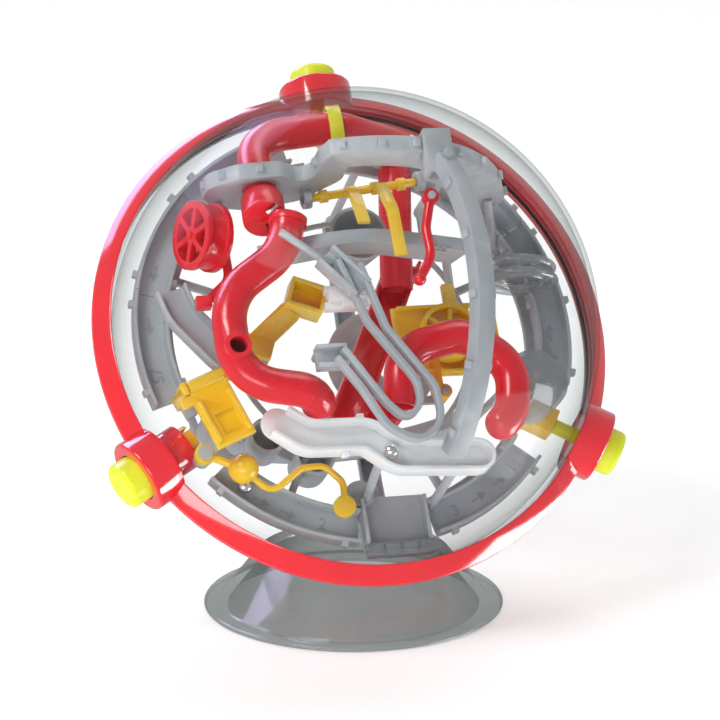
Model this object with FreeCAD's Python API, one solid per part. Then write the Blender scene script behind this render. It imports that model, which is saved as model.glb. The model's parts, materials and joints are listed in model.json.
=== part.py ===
import FreeCAD, Part
import math
import os

# Tilt maze game: a clear globe with a red equator ring, three spring-loaded push
# buttons and a dense marble course inside, resting on a smoky conical stand.
# Lengths in mm, +Z up, origin at the centre of the stand's foot on the table.

V = FreeCAD.Vector

# ---- driving dimensions ------------------------------------------------------
GLOBE_RADIUS = 100.0        # outside of the clear domes
DOME_WALL = 1.8
GLOBE_CENTRE_Z = 114.7      # height of the globe's centre above the table
GLOBE_TILT = 54.4           # ring normal leans this far from the vertical
GLOBE_TURN = 16.7           # and is turned this far about the vertical
GLOBE_ROLL = -1.2           # turn of the ring about its own normal
SEAM_GAP = 0.1              # half of the gap between the front and rear mouldings

RING_BORE = 100.15          # equator ring, a wedge section
RING_OUTER = 107.0
RING_HALF_HEIGHT_INNER = 7.2
RING_HALF_HEIGHT_OUTER = 1.2

BUTTON_ANGLES = {"top": 90.0, "left": 210.0, "right": 330.0}
BOSS_RADIUS = 15.0
BOSS_BORE = 9.9
BOSS_FACE = 111.4           # distance of the boss face from the globe's centre
BOSS_SHELF = 101.6          # floor of the boss pocket
BUTTON_RADIUS = 9.5
BUTTON_FACE = 119.2
STEM_RADIUS = 3.0
STEM_INNER_END = 90.0
SPRING_RADIUS = 6.0
SPRING_WIRE = 1.1

STAND_RADIUS = 62.1
FOOT_BAND = 8.0
FOOT_THICKNESS = 2.4
STAND_WALL = 2.2
SEAT_RADIUS = 38.3
SEAT_GAP = 0.3

TUBE_RADIUS = 6.8           # red course tubes
TUBE_WALL = 1.4
BALL_RADIUS = 3.25
TRACK_WALL = 1.4
TRACK_HEIGHT = 7.0


# ---- small helpers -----------------------------------------------------------
def place_in_globe(shape):
    """Carry a shape from the globe's own frame into the stand's frame."""
    spin = FreeCAD.Rotation(V(0, 0, 1), GLOBE_ROLL)
    lean = FreeCAD.Rotation(V(1, 0, 0), GLOBE_TILT)
    turn = FreeCAD.Rotation(V(0, 0, 1), GLOBE_TURN)
    moved = shape.copy()
    moved.Placement = FreeCAD.Placement(V(0, 0, GLOBE_CENTRE_Z), turn * lean * spin).multiply(moved.Placement)
    return moved


def box(dx, dy, dz, centre=(0, 0, 0)):
    """A box given by its sides and its centre."""
    corner = V(centre[0] - dx / 2, centre[1] - dy / 2, centre[2] - dz / 2)
    return Part.makeBox(dx, dy, dz, corner)


def rod(start, end, radius):
    """A round bar between two points."""
    a = V(*start)
    d = V(*end) - a
    return Part.makeCylinder(radius, d.Length, a, d)


def pipe(start, end, radius, wall):
    """A straight tube between two points."""
    a = V(*start)
    d = V(*end) - a
    outer = Part.makeCylinder(radius, d.Length, a, d)
    return outer.cut(Part.makeCylinder(radius - wall, d.Length, a, d))


def ball(centre, radius):
    """A full sphere."""
    return Part.makeSphere(radius, V(*centre))


def ring(centre, axis, outer, inner, height):
    """A flat ring, its middle plane through the centre."""
    n = V(*axis).normalize()
    base = V(*centre) - n * (height / 2)
    return Part.makeCylinder(outer, height, base, n).cut(Part.makeCylinder(inner, height, base, n))


def revolve(outline, angle=360.0, start=0.0):
    """Turn an outline of (radius, height) points about the Z axis."""
    pts = [V(r, 0, h) for r, h in outline]
    face = Part.Face(Part.makePolygon(pts + [pts[0]]))
    solid = face.revolve(V(0, 0, 0), V(0, 0, 1), angle)
    solid.rotate(V(0, 0, 0), V(0, 0, 1), start)
    return solid


def bent_path(points, bend):
    """A wire of straight runs joined by tangent arcs, one bend radius for all corners."""
    pts = [V(*p) for p in points]
    edges = []
    here = pts[0]
    for i in range(1, len(pts) - 1):
        back = (pts[i - 1] - pts[i]).normalize()
        ahead = (pts[i + 1] - pts[i]).normalize()
        half = back.getAngle(ahead) / 2
        reach = bend / math.tan(half)
        room = min((pts[i] - here).Length, (pts[i + 1] - pts[i]).Length * (0.5 if i < len(pts) - 2 else 0.98))
        reach = min(reach, room * 0.98)
        radius = reach * math.tan(half)
        first = pts[i] + back * reach
        last = pts[i] + ahead * reach
        inward = (back + ahead).normalize()
        middle = pts[i] + inward * (radius / math.sin(half) - radius)
        if (first - here).Length > 1e-4:
            edges.append(Part.makeLine(here, first))
        edges.append(Part.Arc(first, middle, last).toShape())
        here = last
    edges.append(Part.makeLine(here, pts[-1]))
    return Part.Wire(edges)


def sweep(path, section, binormal=None):
    """Carry a closed section wire along a path."""
    shell = Part.BRepOffsetAPI.MakePipeShell(path)
    if binormal is not None:
        shell.setBiNormalMode(V(*binormal))
    shell.add(section)
    shell.build()
    shell.makeSolid()
    return shell.shape()


def bent_rod(points, radius, bend):
    """A round bar along straight runs and tangent bends."""
    path = bent_path(points, bend)
    start = V(*points[0])
    heading = (V(*points[1]) - start).normalize()
    return sweep(path, Part.Wire(Part.makeCircle(radius, start, heading)))


def bent_tube(points, bend, radius=TUBE_RADIUS, wall=TUBE_WALL):
    """A hollow tube along straight runs and tangent bends."""
    return bent_rod(points, radius, bend).cut(bent_rod(points, radius - wall, bend))


def profile_at(points, up, outline):
    """A closed section of (side, up) points standing square on the start of a path."""
    start = V(*points[0])
    heading = (V(*points[1]) - start).normalize()
    rise = V(*up).normalize()
    side = heading.cross(rise).normalize()
    pts = [start + side * s + rise * h for s, h in outline]
    return Part.makePolygon(pts + [pts[0]])


def channel_outline(width, height, wall):
    """Section of an open channel, floor at the bottom."""
    a = width / 2
    b = a - wall
    return [(-a, 0), (a, 0), (a, height), (b, height), (b, wall), (-b, wall), (-b, height), (-a, height)]


def channel(points, up, bend, width=12.0, height=TRACK_HEIGHT, wall=TRACK_WALL):
    """An open track along straight runs and tangent bends lying in one plane."""
    path = bent_path(points, bend)
    return sweep(path, profile_at(points, up, channel_outline(width, height, wall)), up)


def strip(points, up, bend, width, thickness):
    """A flat band along a bent path."""
    a = width / 2
    outline = [(-a, 0), (a, 0), (a, thickness), (-a, thickness)]
    return sweep(bent_path(points, bend), profile_at(points, up, outline), up)


def joined(*shapes):
    """Fuse shapes into one clean solid."""
    result = shapes[0]
    if len(shapes) > 1:
        result = result.fuse(list(shapes[1:]))
    return result.removeSplitter()


def turned(shape, axis, angle, centre=(0, 0, 0)):
    """A turned copy."""
    copy = shape.copy()
    copy.rotate(V(*centre), V(*axis), angle)
    return copy


def on_arm(shape, angle):
    """Carry a shape built along +X round to a button's direction."""
    return turned(shape, (0, 0, 1), angle)


# ---- stand -------------------------------------------------------------------
def make_stand():
    """Foot band, conical wall and a seat ring cut to the globe."""
    seat_z = GLOBE_CENTRE_Z - math.sqrt(GLOBE_RADIUS ** 2 - SEAT_RADIUS ** 2)
    root = STAND_RADIUS - FOOT_BAND
    outline = [
        (root - STAND_WALL, 0),
        (STAND_RADIUS, 0),
        (STAND_RADIUS, FOOT_THICKNESS * 0.6),
        (STAND_RADIUS - 0.9, FOOT_THICKNESS),
        (root + 0.9, FOOT_THICKNESS),
        (SEAT_RADIUS + 1.6, seat_z + 0.4),
        (SEAT_RADIUS - 2.6, seat_z + 1.2),
        (SEAT_RADIUS - 2.6, seat_z - 3.2),
        (SEAT_RADIUS - 0.8, seat_z - 3.2),
    ]
    body = revolve(outline)
    return body.cut(ball((0, 0, GLOBE_CENTRE_Z), GLOBE_RADIUS + SEAT_GAP))


# ---- domes, ring and bosses --------------------------------------------------
def arm_bore(radius, inner, outer):
    """A round cutter along a button's direction, before it is turned into place."""
    return Part.makeCylinder(radius, outer - inner, V(inner, 0, 0), V(1, 0, 0))


def edges_at(shape, x):
    """The edges that lie in the plane at this X."""
    return [e for e in shape.Edges if abs(e.BoundBox.XMin - x) < 0.01 and abs(e.BoundBox.XMax - x) < 0.01]


def make_dome(side):
    """Half globe with three stem holes on its rim."""
    shell = ball((0, 0, 0), GLOBE_RADIUS).cut(ball((0, 0, 0), GLOBE_RADIUS - DOME_WALL))
    half = Part.makeBox(240, 240, 120, V(-120, -120, SEAM_GAP if side > 0 else -120 - SEAM_GAP))
    dome = shell.common(half)
    for angle in BUTTON_ANGLES.values():
        dome = dome.cut(on_arm(arm_bore(BOSS_BORE, 60, 130), angle))
    return dome


def make_ring_half(side):
    """Half of the red equator ring, opened for the bosses."""
    outline = [
        (RING_BORE, SEAM_GAP * side),
        (RING_OUTER - 0.5, SEAM_GAP * side),
        (RING_OUTER, 0.6 * side),
        (RING_OUTER - 0.3, RING_HALF_HEIGHT_OUTER * side),
        (RING_BORE + 0.7, RING_HALF_HEIGHT_INNER * side),
        (RING_BORE, (RING_HALF_HEIGHT_INNER - 0.3) * side),
    ]
    half = revolve(outline)
    for angle in BUTTON_ANGLES.values():
        half = half.cut(on_arm(arm_bore(BOSS_RADIUS + 0.02, 60, 130), angle))
    return half


def make_boss(angle):
    """Round housing on the ring with a pocket for the button; the left one has a sleeve inside."""
    outer = Part.makeCylinder(BOSS_RADIUS, BOSS_FACE - 94, V(94, 0, 0), V(1, 0, 0))
    outer = outer.makeFillet(1.2, edges_at(outer, BOSS_FACE))
    outer = outer.cut(ball((0, 0, 0), GLOBE_RADIUS + 0.05))
    outer = outer.cut(arm_bore(BOSS_BORE, BOSS_SHELF, BOSS_FACE + 5))
    if angle == BUTTON_ANGLES["left"]:
        outer = outer.fuse(arm_bore(BOSS_BORE - 0.3, 88.5, 101).cut(arm_bore(7.6, 80, 98))).removeSplitter()
    outer = outer.cut(arm_bore(STEM_RADIUS + 0.3, 80, 120))
    return on_arm(outer, angle)


def make_button(angle):
    """Push button: domed cap, skirt and guide stem."""
    cap = Part.makeCylinder(BUTTON_RADIUS, BUTTON_FACE - 107.6, V(107.6, 0, 0), V(1, 0, 0))
    cap = cap.makeFillet(2.2, edges_at(cap, BUTTON_FACE))
    stem = Part.makeCylinder(STEM_RADIUS, 108.5 - STEM_INNER_END, V(STEM_INNER_END, 0, 0), V(1, 0, 0))
    return on_arm(joined(cap, stem), angle)


def make_spring(angle):
    """Return spring round the stem, drawn as a short coil."""
    length = 107.4 - BOSS_SHELF - 0.4
    pitch = length / 3.0
    helix = Part.makeLongHelix(pitch, length - 0.9, SPRING_RADIUS)
    wire = Part.Wire(helix.Edges)
    section = Part.Wire(Part.makeCircle(SPRING_WIRE / 2, V(SPRING_RADIUS, 0, 0), V(0, 1, 0)))
    coil = sweep(wire, section, (0, 0, 1))
    coil.rotate(V(0, 0, 0), V(0, 1, 0), 90)
    coil.translate(V(BOSS_SHELF + 0.6, 0, 0))
    return on_arm(coil, angle)


# ---- plungers carried by the buttons -----------------------------------------
def make_plunger_top():
    """Forked plunger of the top button."""
    head = box(3.0, 12, 9, (STEM_INNER_END - 1.6, 0, 0))
    rib = box(2.6, 5, 5, (STEM_INNER_END - 4.3, 0, 0))
    return on_arm(joined(head, rib), BUTTON_ANGLES["top"])


def make_plunger_left():
    """Round plunger head of the left button."""
    head = Part.makeCylinder(7.0, 6.0, V(STEM_INNER_END - 6.1, 0, 0), V(1, 0, 0))
    slots = [box(8, 1.4, 20, (STEM_INNER_END - 5.5, y, 0)) for y in (-4.2, 4.2)]
    core = Part.makeCylinder(4.5, 6.0, V(STEM_INNER_END - 6.1, 0, 0), V(1, 0, 0))
    return on_arm(joined(head.cut(slots[0]).cut(slots[1]), core), BUTTON_ANGLES["left"])


def make_plunger_right():
    """Ribbed square plunger of the right button."""
    block = box(12.0, 11, 9, (STEM_INNER_END - 6.1, 0, 0))
    for z in (-2.4, 2.4):
        block = block.cut(box(9, 20, 1.5, (STEM_INNER_END - 6.4, 7.8, z)))
        block = block.cut(box(9, 20, 1.5, (STEM_INNER_END - 6.4, -7.8 - 8, z)))
    return on_arm(block, BUTTON_ANGLES["right"])


# ---- equator course ----------------------------------------------------------
EQUATOR_INNER = 77.0
EQUATOR_OUTER = 91.0
EQUATOR_MIDDLE = (EQUATOR_INNER + EQUATOR_OUTER) / 2
TRACK_FLOOR = 0.5           # height of the running floor above the ring's middle plane
EQUATOR_SPANS = [
    (102, 133.9),
    (134.1, 165.9),
    (166.1, 198),
    (221, 262.5),
    (283.5, 319),
    (341, 389.4),
    (389.6, 438),
]


def equator_outline(height=6.0):
    """Section of the equator track: floor and two walls."""
    i, o, w = EQUATOR_INNER, EQUATOR_OUTER, TRACK_WALL
    outside = [(i, -1), (o, -1), (o, height), (o - w, height)]
    inside = [(o - w, TRACK_FLOOR), (i + w, TRACK_FLOOR), (i + w, height), (i, height)]
    return outside + inside


def make_equator_arc(start, end):
    """One arc of the equator track with peg lugs under its outer edge."""
    arc = revolve(equator_outline(), end - start, start)
    lugs = []
    count = max(2, int((end - start) / 14))
    for i in range(count):
        a = start + 4 + (end - start - 8) * i / (count - 1)
        lugs.append(turned(box(2.2, 2.6, 3.0, (EQUATOR_OUTER + 1.0, 0, 4.0)), (0, 0, 1), a))
        lugs.append(turned(box(2.0, 2.6, 3.0, (EQUATOR_INNER - 0.9, 0, 4.0)), (0, 0, 1), a))
    return joined(arc, *lugs)


def make_equator_track():
    """The arcs of the equator track, tied together by the core frame below."""
    return Part.Compound([make_equator_arc(start, end) for start, end in EQUATOR_SPANS])


def make_start_plate():
    """Wide starting deck across the track at the bottom."""
    deck = box(27.0, 22, 1.6, (4, -81.5, -0.2))
    deck = deck.common(Part.makeCylinder(96.5, 20, V(0, 0, -10)))
    walls = [box(1.5, 19, 5.5, (4 + s * 12.75, -81.5, 3.3)) for s in (-1, 1)]
    return joined(deck, *walls)


def make_start_clip():
    """Clear stepped clip between the starting deck and the dome."""
    steps = [box(6.5, 5, 5.5, (-6.5 + 7 * i, -94.2 + 0.25 * abs(i - 1.5), 4.6 + 0.2 * i)) for i in range(4)]
    bar = box(27.5, 2.0, 2.0, (4, -91.8, 3.0))
    clip = joined(bar, *steps)
    return clip.common(ball((0, 0, 0), GLOBE_RADIUS - DOME_WALL - 0.6))


def make_end_disc():
    """Round finishing pad."""
    pad = Part.makeCylinder(5.4, 3.0, V(-8.4, -69.5, 1.0))
    return joined(pad, Part.makeCylinder(6.0, 0.8, V(-8.4, -69.5, 1.0))).cut(
        Part.makeCylinder(4.2, 1.0, V(-8.4, -69.5, 3.4)))


# ---- red tubes ---------------------------------------------------------------
S_TUBE = [
    (-34.2, 29.5, 50), (-38.3, 15.5, 50), (-63.4, -1.5, 50),
    (-63.6, -36.5, 50), (-33, -42.5, 50), (-31.0, -46.0, 43),
]


def make_s_tube():
    """Serpentine tube with a lipped side hole and an open collar."""
    tube = bent_tube(S_TUBE, 24)
    lip = Part.makeCylinder(5.2, 4.0, V(-62.9, -24.5, 53.8))
    tube = tube.fuse(lip)
    tube = tube.cut(Part.makeCylinder(3.4, 8, V(-62.9, -24.5, 51.5)))
    collar = pipe((-34.0, 30.3, 50), (-34.8, 27.5, 50), TUBE_RADIUS + 0.8, 1.8)
    return joined(tube, collar)


UPPER_TUBE = [(30, 77.0, 12), (-1, 81.0, 25), (-38, 77, 25), (-41.0, 43, 40)]


def make_upper_tube():
    """Tube over the top of the course, dropping at its left end."""
    return bent_tube(UPPER_TUBE, 18)


def make_drop_tube():
    """Tube that falls from the top right into the middle of the course."""
    return pipe((27.2, 70, 5), (22.6, 20, -4), TUBE_RADIUS, TUBE_WALL)


def make_funnel():
    """Elbow with a notched crown that feeds the serpentine tube."""
    cup = pipe((-41.2, 41.2, 41.5), (-42.4, 33.0, 46), 8.6, 1.4)
    floor = rod((-42.4, 33.0, 46), (-42.6, 31.7, 46.7), 8.6)
    cup = joined(cup, floor)
    axis = V(-1.2, -8.2, 4.5).normalize()
    for i in range(3):
        notch = box(3.0, 30, 5.0, (-41.2, 41.2, 42))
        notch.rotate(V(-41.2, 41.2, 41.5), axis, 60 * i + 20)
        cup = cup.cut(notch)
    return cup


ARC_TUBE = [
    (2.5, -46, 37), (6.5, -24, 40), (33, -18, 40),
    (50.5, -33, 40), (47.5, -51.5, 40), (42.2, -56.4, 40),
]


def make_arc_tube():
    """Horseshoe tube with a closed, rounded far end."""
    tube = bent_tube(ARC_TUBE, 15)
    cap = ball(ARC_TUBE[-1], TUBE_RADIUS).cut(ball(ARC_TUBE[-1], TUBE_RADIUS - TUBE_WALL))
    away = (V(*ARC_TUBE[-1]) - V(*ARC_TUBE[-2])).normalize()
    half = Part.makeCylinder(20, 20, V(*ARC_TUBE[-1]), away)
    return joined(tube, cap.common(half))


def make_red_ramp():
    """Long open ramp through the middle."""
    return channel([(29.5, 35, -12), (-7.5, -36, -12)], (0, 0, 1), 5, 13.5, 8)


def make_red_post():
    """Dark red switch block at the foot of the ramp."""
    block = box(17, 9, 9, (-1, -42, 18))
    block = block.cut(box(12, 20, 5, (-1, -42, 19)))
    return joined(block, rod((-8, -42, 22), (-8, -42, 28), 2.2), rod((6, -42, 22), (6, -42, 30), 2.2))


# ---- gray course -------------------------------------------------------------
def level_arc(radius, y, start, end, width=13.0, height=6.0):
    """A track that runs round the Y axis; angles from +Z towards +X."""
    a = radius - width / 2
    b = radius + width / 2
    w = TRACK_WALL
    outside = [(a, 0), (b, 0), (b, height), (b - w, height)]
    inside = [(b - w, w), (a + w, w), (a + w, height), (a, height)]
    outline = outside + inside
    arc = revolve(outline, end - start, 0)
    arc.rotate(V(0, 0, 0), V(1, 0, 0), -90)
    arc.rotate(V(0, 0, 0), V(0, 1, 0), -90 + start)
    arc.translate(V(0, y, 0))
    return arc


def lug_row(radius, y, angles, size=(2.6, 3.0, 2.2)):
    """Small square lugs on the outer wall of a level arc."""
    lugs = []
    for a in angles:
        lugs.append(turned(box(size[0], size[1], size[2], (0, y, radius)), (0, 1, 0), a))
    return lugs


SHELF_Y = 48.5              # underside of the upper track
SHELF_FLOOR = 1.5
SHELF_WALL = 6.5
LEFT_FRONT = [
    (-61.5, 30), (-61.0, 40), (-50.5, 47.5), (-34, 49.5),
    (-25.5, 42.5), (-19.6, 46.5), (-19.6, 60), (-17.2, 67),
]
LEFT_BACK = [
    (-8.5, 57), (-8.0, 44), (-21.2, 25.5),
    (-40.4, 17.5), (-56, 21.5), (-61.5, 30),
]


def at_shelf(points):
    """Plan points (x, z) lifted to the height of the upper track."""
    return [(x, SHELF_Y, z) for x, z in points]


def make_upper_track_left():
    """Lower left shelf of the upper track with an S-shaped front wall."""
    front = bent_path(at_shelf(LEFT_FRONT), 7)
    back = bent_path(at_shelf(LEFT_BACK), 9)
    bridge = Part.makeLine(V(*at_shelf(LEFT_FRONT)[-1]), V(*at_shelf(LEFT_BACK)[0]))
    outline = Part.Wire(Part.__sortEdges__(front.Edges + [bridge] + back.Edges))
    floor = Part.Face(outline).extrude(V(0, SHELF_FLOOR, 0))
    wall = strip(at_shelf(LEFT_FRONT), (0, 1, 0), 7, 1.5, SHELF_WALL)
    spots = ((-62.2, 35.5), (-56.6, 44.6), (-42.5, 49.8), (-20.6, 54.0))
    lugs = [box(2.6, 3.0, 2.4, (x, SHELF_Y + 3.5, z)) for x, z in spots]
    return joined(floor, wall, *lugs)


def make_upper_track_right():
    """Main shelf of the upper track, round to the right side."""
    arc = level_arc(63.3, SHELF_Y, -15, 36, 14.0, SHELF_WALL)
    wide = level_arc(59.8, SHELF_Y, 35, 72, 21.0, SHELF_WALL)
    end = turned(Part.makeCylinder(10.5, TRACK_WALL, V(0, SHELF_Y, 59.8), V(0, 1, 0)), (0, 1, 0), 72)
    wall = turned(ring((0, SHELF_Y + SHELF_WALL / 2, 59.8), (0, 1, 0), 10.5, 9.1, SHELF_WALL), (0, 1, 0), 72)
    keep = turned(box(30, 20, 40, (15.1, SHELF_Y + 3, 59.8)), (0, 1, 0), 72)
    lugs = lug_row(70.9, SHELF_Y + 3.5, (-11, 2, 14, 32, 46, 60, 74))
    return joined(arc, wide, end, wall.common(keep), *lugs)


def make_mid_band():
    """Band across the middle, its underside marked with arrows."""
    return channel([(-43, 18, 33), (-6, 18, 48), (40, 18, 31)], (0, 1, 0), 40, 12, 6)


def hoop_outline(inner, outer, half):
    """Section of a hoop channel that opens towards the globe's centre."""
    w = TRACK_WALL
    outside = [(inner, -half), (outer, -half), (outer, half), (inner, half)]
    inside = [(inner, half - w), (outer - w, half - w), (outer - w, w - half), (inner, w - half)]
    return outside + inside


def make_front_beam():
    """Hoop channel standing in front of the course."""
    hoop = revolve(hoop_outline(83.5, 90.0, 3.8), 84, -54)
    lugs = []
    for a in (-48, -30, -12, 4, 20):
        lugs.append(turned(box(4.0, 3.0, 10.2, (86.8, 0, 0)), (0, 0, 1), a))
    hoop = joined(hoop, *lugs)
    # the hoop was turned round Z from +X; stand it up in the plane that holds Y
    hoop.rotate(V(0, 0, 0), V(0, 1, 0), -90)
    hoop.rotate(V(0, 0, 0), V(0, 1, 0), 20)
    return hoop


def make_beam_block():
    """Squared joint block between the hoop and the upper track."""
    block = box(11, 18, 9, (25, 47.5, 67.5))
    block = block.cut(box(8.0, 24, 6.2, (25, 47.5, 66.5)))
    return joined(block, box(5, 4, 5, (22, 54.5, 66.0)), rod((27, 44, 70), (27, 44, 76), 2.0))


def make_left_slide():
    """Slide along the left side."""
    path = [(-77.5, 15, 16.5), (-74.5, 4, 16.5), (-60, -14.5, 16.5), (-46.5, -24, 16.5)]
    return channel(path, (0, 0, 1), 20, 13, 6)


def make_lower_cups():
    """Row of three catch cups low in the course."""
    parts = []
    for x, y, z, r in ((-42, -42, -4, 7.5), (-24, -52, -4, 8.0), (-60, -33, -6, 6.5)):
        cup = pipe((x, y, z - 9), (x, y, z + 6), r, 1.3)
        parts.append(joined(cup, rod((x, y, z - 10.2), (x, y, z - 8.8), r)))
    links = [strip([(-60, -33, -10), (-42, -42, -10)], (0, 0, 1), 2, 4, 2),
             strip([(-42, -42, -10), (-24, -52, -10)], (0, 0, 1), 2, 4, 2)]
    row = joined(*parts, *links)
    for x, y, z, r in ((-42, -42, -4, 7.5), (-24, -52, -4, 8.0), (-60, -33, -6, 6.5)):
        row = row.cut(Part.makeCylinder(r - 1.3, 30, V(x, y, z - 8.8)))
    return row


# ---- rails and trough --------------------------------------------------------
TROUGH = [(-47.5, -51.0, 38), (-38, -58.5, 38), (-14, -59.2, 38), (-3, -68.2, 38), (29, -70.2, 38)]


def make_trough():
    """White trough with a jog and a rounded scoop end."""
    run = channel(TROUGH, (0, 0, 1), 9, 13.0, 8.0)
    disc = Part.makeCylinder(6.5, 1.4, V(29, -70.2, 38))
    wall = ring((29, -70.2, 42), (0, 0, 1), 6.5, 5.1, 8.0)
    wall = wall.common(box(20, 30, 20, (39, -70.2, 42)))
    near = Part.makeCylinder(6.5, 1.4, V(-47.5, -51.0, 38))
    spots = ((-30, -51.2), (-16, -51.8), (12, -62.0), (-24, -66.4), (8, -76.6))
    lugs = [box(2.6, 2.2, 3.0, (x, y, 43.5)) for x, y in spots]
    return joined(run, disc, wall, near, *lugs)


RAIL_HEIGHT = 55.0
RAIL_OUTER = [
    (-10.6, 6.3), (-4, -21), (11.8, -46), (12.4, -60),
    (2.5, -68.8), (-9.5, -61), (-17.7, -44.5), (-25.5, -32),
]
RAIL_INNER = [
    (-19, 8.3), (-11, -18), (4.8, -43), (5.2, -53),
    (-1.8, -59.0), (-8.7, -51.5), (-22.4, -28.4),
]


def make_rail(points):
    """One thin rail of the hairpin."""
    return strip([(x, y, RAIL_HEIGHT) for x, y in points], (0, 0, 1), 12, 2.4, 4.2)


def make_rail_head():
    """Block that carries both rails, with a slanted arm."""
    heading = V(18.5, -22, 0).normalize()
    block = box(20, 9.5, 7, (0, 0, 0))
    block = block.cut(box(22, 6.4, 5, (0, 0, 1.6)))
    block.rotate(V(0, 0, 0), V(0, 0, 1), math.degrees(math.atan2(heading.y, heading.x)))
    block.translate(V(-17.5, 3, 57.0))
    arm = rod((-22, 7, 56), (-41, 20, 60.5), 1.5)
    return joined(block, arm)


def make_rail_anchor():
    """Block at the far end of the hairpin."""
    block = box(12, 9, 6.5, (-26.5, -30.5, 54))
    return joined(block.cut(box(14, 6, 5, (-26.5, -30.5, 56))), rod((-30, -27, 51), (-30, -27, 44), 1.8))


# ---- yellow movers -----------------------------------------------------------
LEVER_PIVOT = (-71.5, -52.5)
LEVER_PATH = [
    (-71.5, -52.5, 13), (-57, -59.5, 14), (-47, -70.0, 13), (-33.5, -60.5, 13),
    (-24.5, -60.0, 13), (-17.5, -67.5, 13), (-18.5, -76.0, 13),
]


def make_lever():
    """Balanced lever: pivot eye, ball, wavy rod and end paddle."""
    eye = Part.makeCylinder(4.0, 3.4, V(LEVER_PIVOT[0], LEVER_PIVOT[1], 11.4))
    shank = rod((-71.5, -52.5, 13.1), (-57, -59.5, 14), 1.6)
    weight = ball((-57, -59.5, 14), 6.0)
    wire_part = bent_rod(LEVER_PATH[1:], 1.35, 6)
    paddle = Part.makeCylinder(4.4, 2.6, V(-18.6, -77.5, 11.7))
    lever = joined(eye, shank, weight, wire_part, paddle)
    return lever.cut(Part.makeCylinder(2.05, 12, V(LEVER_PIVOT[0], LEVER_PIVOT[1], 6)))


def make_lever_pin():
    """Pin on the equator track for the lever."""
    x, y = LEVER_PIVOT
    pin = Part.makeCylinder(2.0, 9.5, V(x, y, 6.0))
    return joined(pin, Part.makeCylinder(3.4, 4.4, V(x, y, 6.4)), Part.makeCylinder(2.9, 1.0, V(x, y, 15.2)))


GATE_CENTRE = (-65.5, -40.0, 26.0)
GATE_TURN = 21.0
GATE_AXIS_OFFSET = 14.0     # from the middle of the slab up to its cross rod


def in_gate_place(shape):
    """Carry a shape from the gate's own frame (slab along Y) to its place."""
    moved = turned(shape, (0, 0, 1), GATE_TURN)
    moved.translate(V(*GATE_CENTRE))
    return moved


def make_gate():
    """Swinging gate slab hung on its cross rod."""
    slab = box(16.5, 25, 3.0, (0, -0.5, 0))
    slab = slab.cut(box(8.5, 9, 10, (1.0, -4.5, 0)))
    web = box(8.6, 9.1, 1.3, (1.0, -4.5, -0.4))
    barrel = Part.makeCylinder(2.8, 15, V(-7.5, GATE_AXIS_OFFSET, 0), V(1, 0, 0))
    flange = box(6.0, 4.0, 3.0, (-10.0, 9.0, 0))
    ribs = [box(1.6, 18, 1.2, (x, -2, 2.0)) for x in (-6.5, 6.8)]
    gate = joined(slab, web, barrel, flange, *ribs)
    return in_gate_place(gate.cut(Part.makeCylinder(1.55, 40, V(-20, GATE_AXIS_OFFSET, 0), V(1, 0, 0))))


def make_gate_frame():
    """Cross rod and cheeks that hold the gate."""
    shaft = Part.makeCylinder(1.5, 25, V(-10.2, GATE_AXIS_OFFSET, 0), V(1, 0, 0))
    cheeks = [box(1.8, 5, 19, (x, GATE_AXIS_OFFSET, -7)) for x in (-9.2, 9.6)]
    return in_gate_place(joined(shaft, *cheeks))


CRANK_START = (-19.5, 45.0, 35)
CRANK_END = (25.0, 50.5, 35)
CRANK_AXIS = (CRANK_END[0] - CRANK_START[0], CRANK_END[1] - CRANK_START[1], 0)
CLAW_REACHES = [
    (7.0, [(47.5, 36), (46.0, 45), (30, 55.5), (9.5, 57)]),
    (-3.5, [(46.5, 36), (43.5, 43), (27, 50)]),
]


def on_crank(x):
    """The point of the crank's axis at this X."""
    share = (x - CRANK_START[0]) / CRANK_AXIS[0]
    return (x, CRANK_START[1] + share * CRANK_AXIS[1], CRANK_START[2])


def make_crank():
    """Crank rod with two claw blades."""
    shaft = rod(CRANK_START, CRANK_END, 1.7)
    collars = [ring(on_crank(x), CRANK_AXIS, 2.6, 1.0, 3.0) for x in (-14, -2, 8, 19)]
    blades = []
    for x, reach in CLAW_REACHES:
        path = [(x, y, z) for y, z in reach]
        section = profile_at(path, (1, 0, 0), [(-0.9, -2.4), (0.9, -2.4), (0.9, 2.4), (-0.9, 2.4)])
        blades.append(sweep(bent_path(path, 7), section, (1, 0, 0)))
    return joined(shaft, *blades, *collars)


def make_crank_bearings():
    """Bearing posts for the crank rod, hung from the upper track."""
    bore = rod(on_crank(-40), on_crank(40), 2.05)
    left = ring(on_crank(-21.3), CRANK_AXIS, 4.0, 2.05, 3.0)
    right = ring(on_crank(26.8), CRANK_AXIS, 4.0, 2.05, 3.0)
    left_arm = box(3, 4.0, 5, (-21.4, 47.2, 35)).cut(bore)
    right_arm = box(3, 3.4, 17, (27.4, 50.7, 43.5)).cut(bore)
    return [joined(left, left_arm), joined(right, right_arm)]


RED_LEVER_PIVOT = (22.5, 33.0)


def make_red_lever():
    """Small curved red switch lever."""
    x, y = RED_LEVER_PIVOT
    eye = Part.makeCylinder(3.2, 3.4, V(x, y, 56.4))
    arm = bent_rod([(x, y, 58), (18.5, 20, 58), (19.0, 8, 58), (12.5, -1.5, 58)], 1.9, 12)
    toe = ball((12.5, -1.5, 58), 2.6)
    lever = joined(eye, arm, toe)
    return lever.cut(Part.makeCylinder(1.55, 12, V(x, y, 52)))


def make_red_lever_pin():
    """Post from the middle band for the red lever."""
    x, y = RED_LEVER_PIVOT
    post = Part.makeCylinder(1.5, 19, V(x, y, 42.5))
    return joined(post, Part.makeCylinder(2.9, 13.2, V(x, y, 42.9)), box(4, 14, 3, (x, y - 5, 44)))


WHEEL_CENTRE = (-64.0, 32.5, 30.0)
WHEEL_AXIS = (-0.94, 0.0, 0.34)


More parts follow.
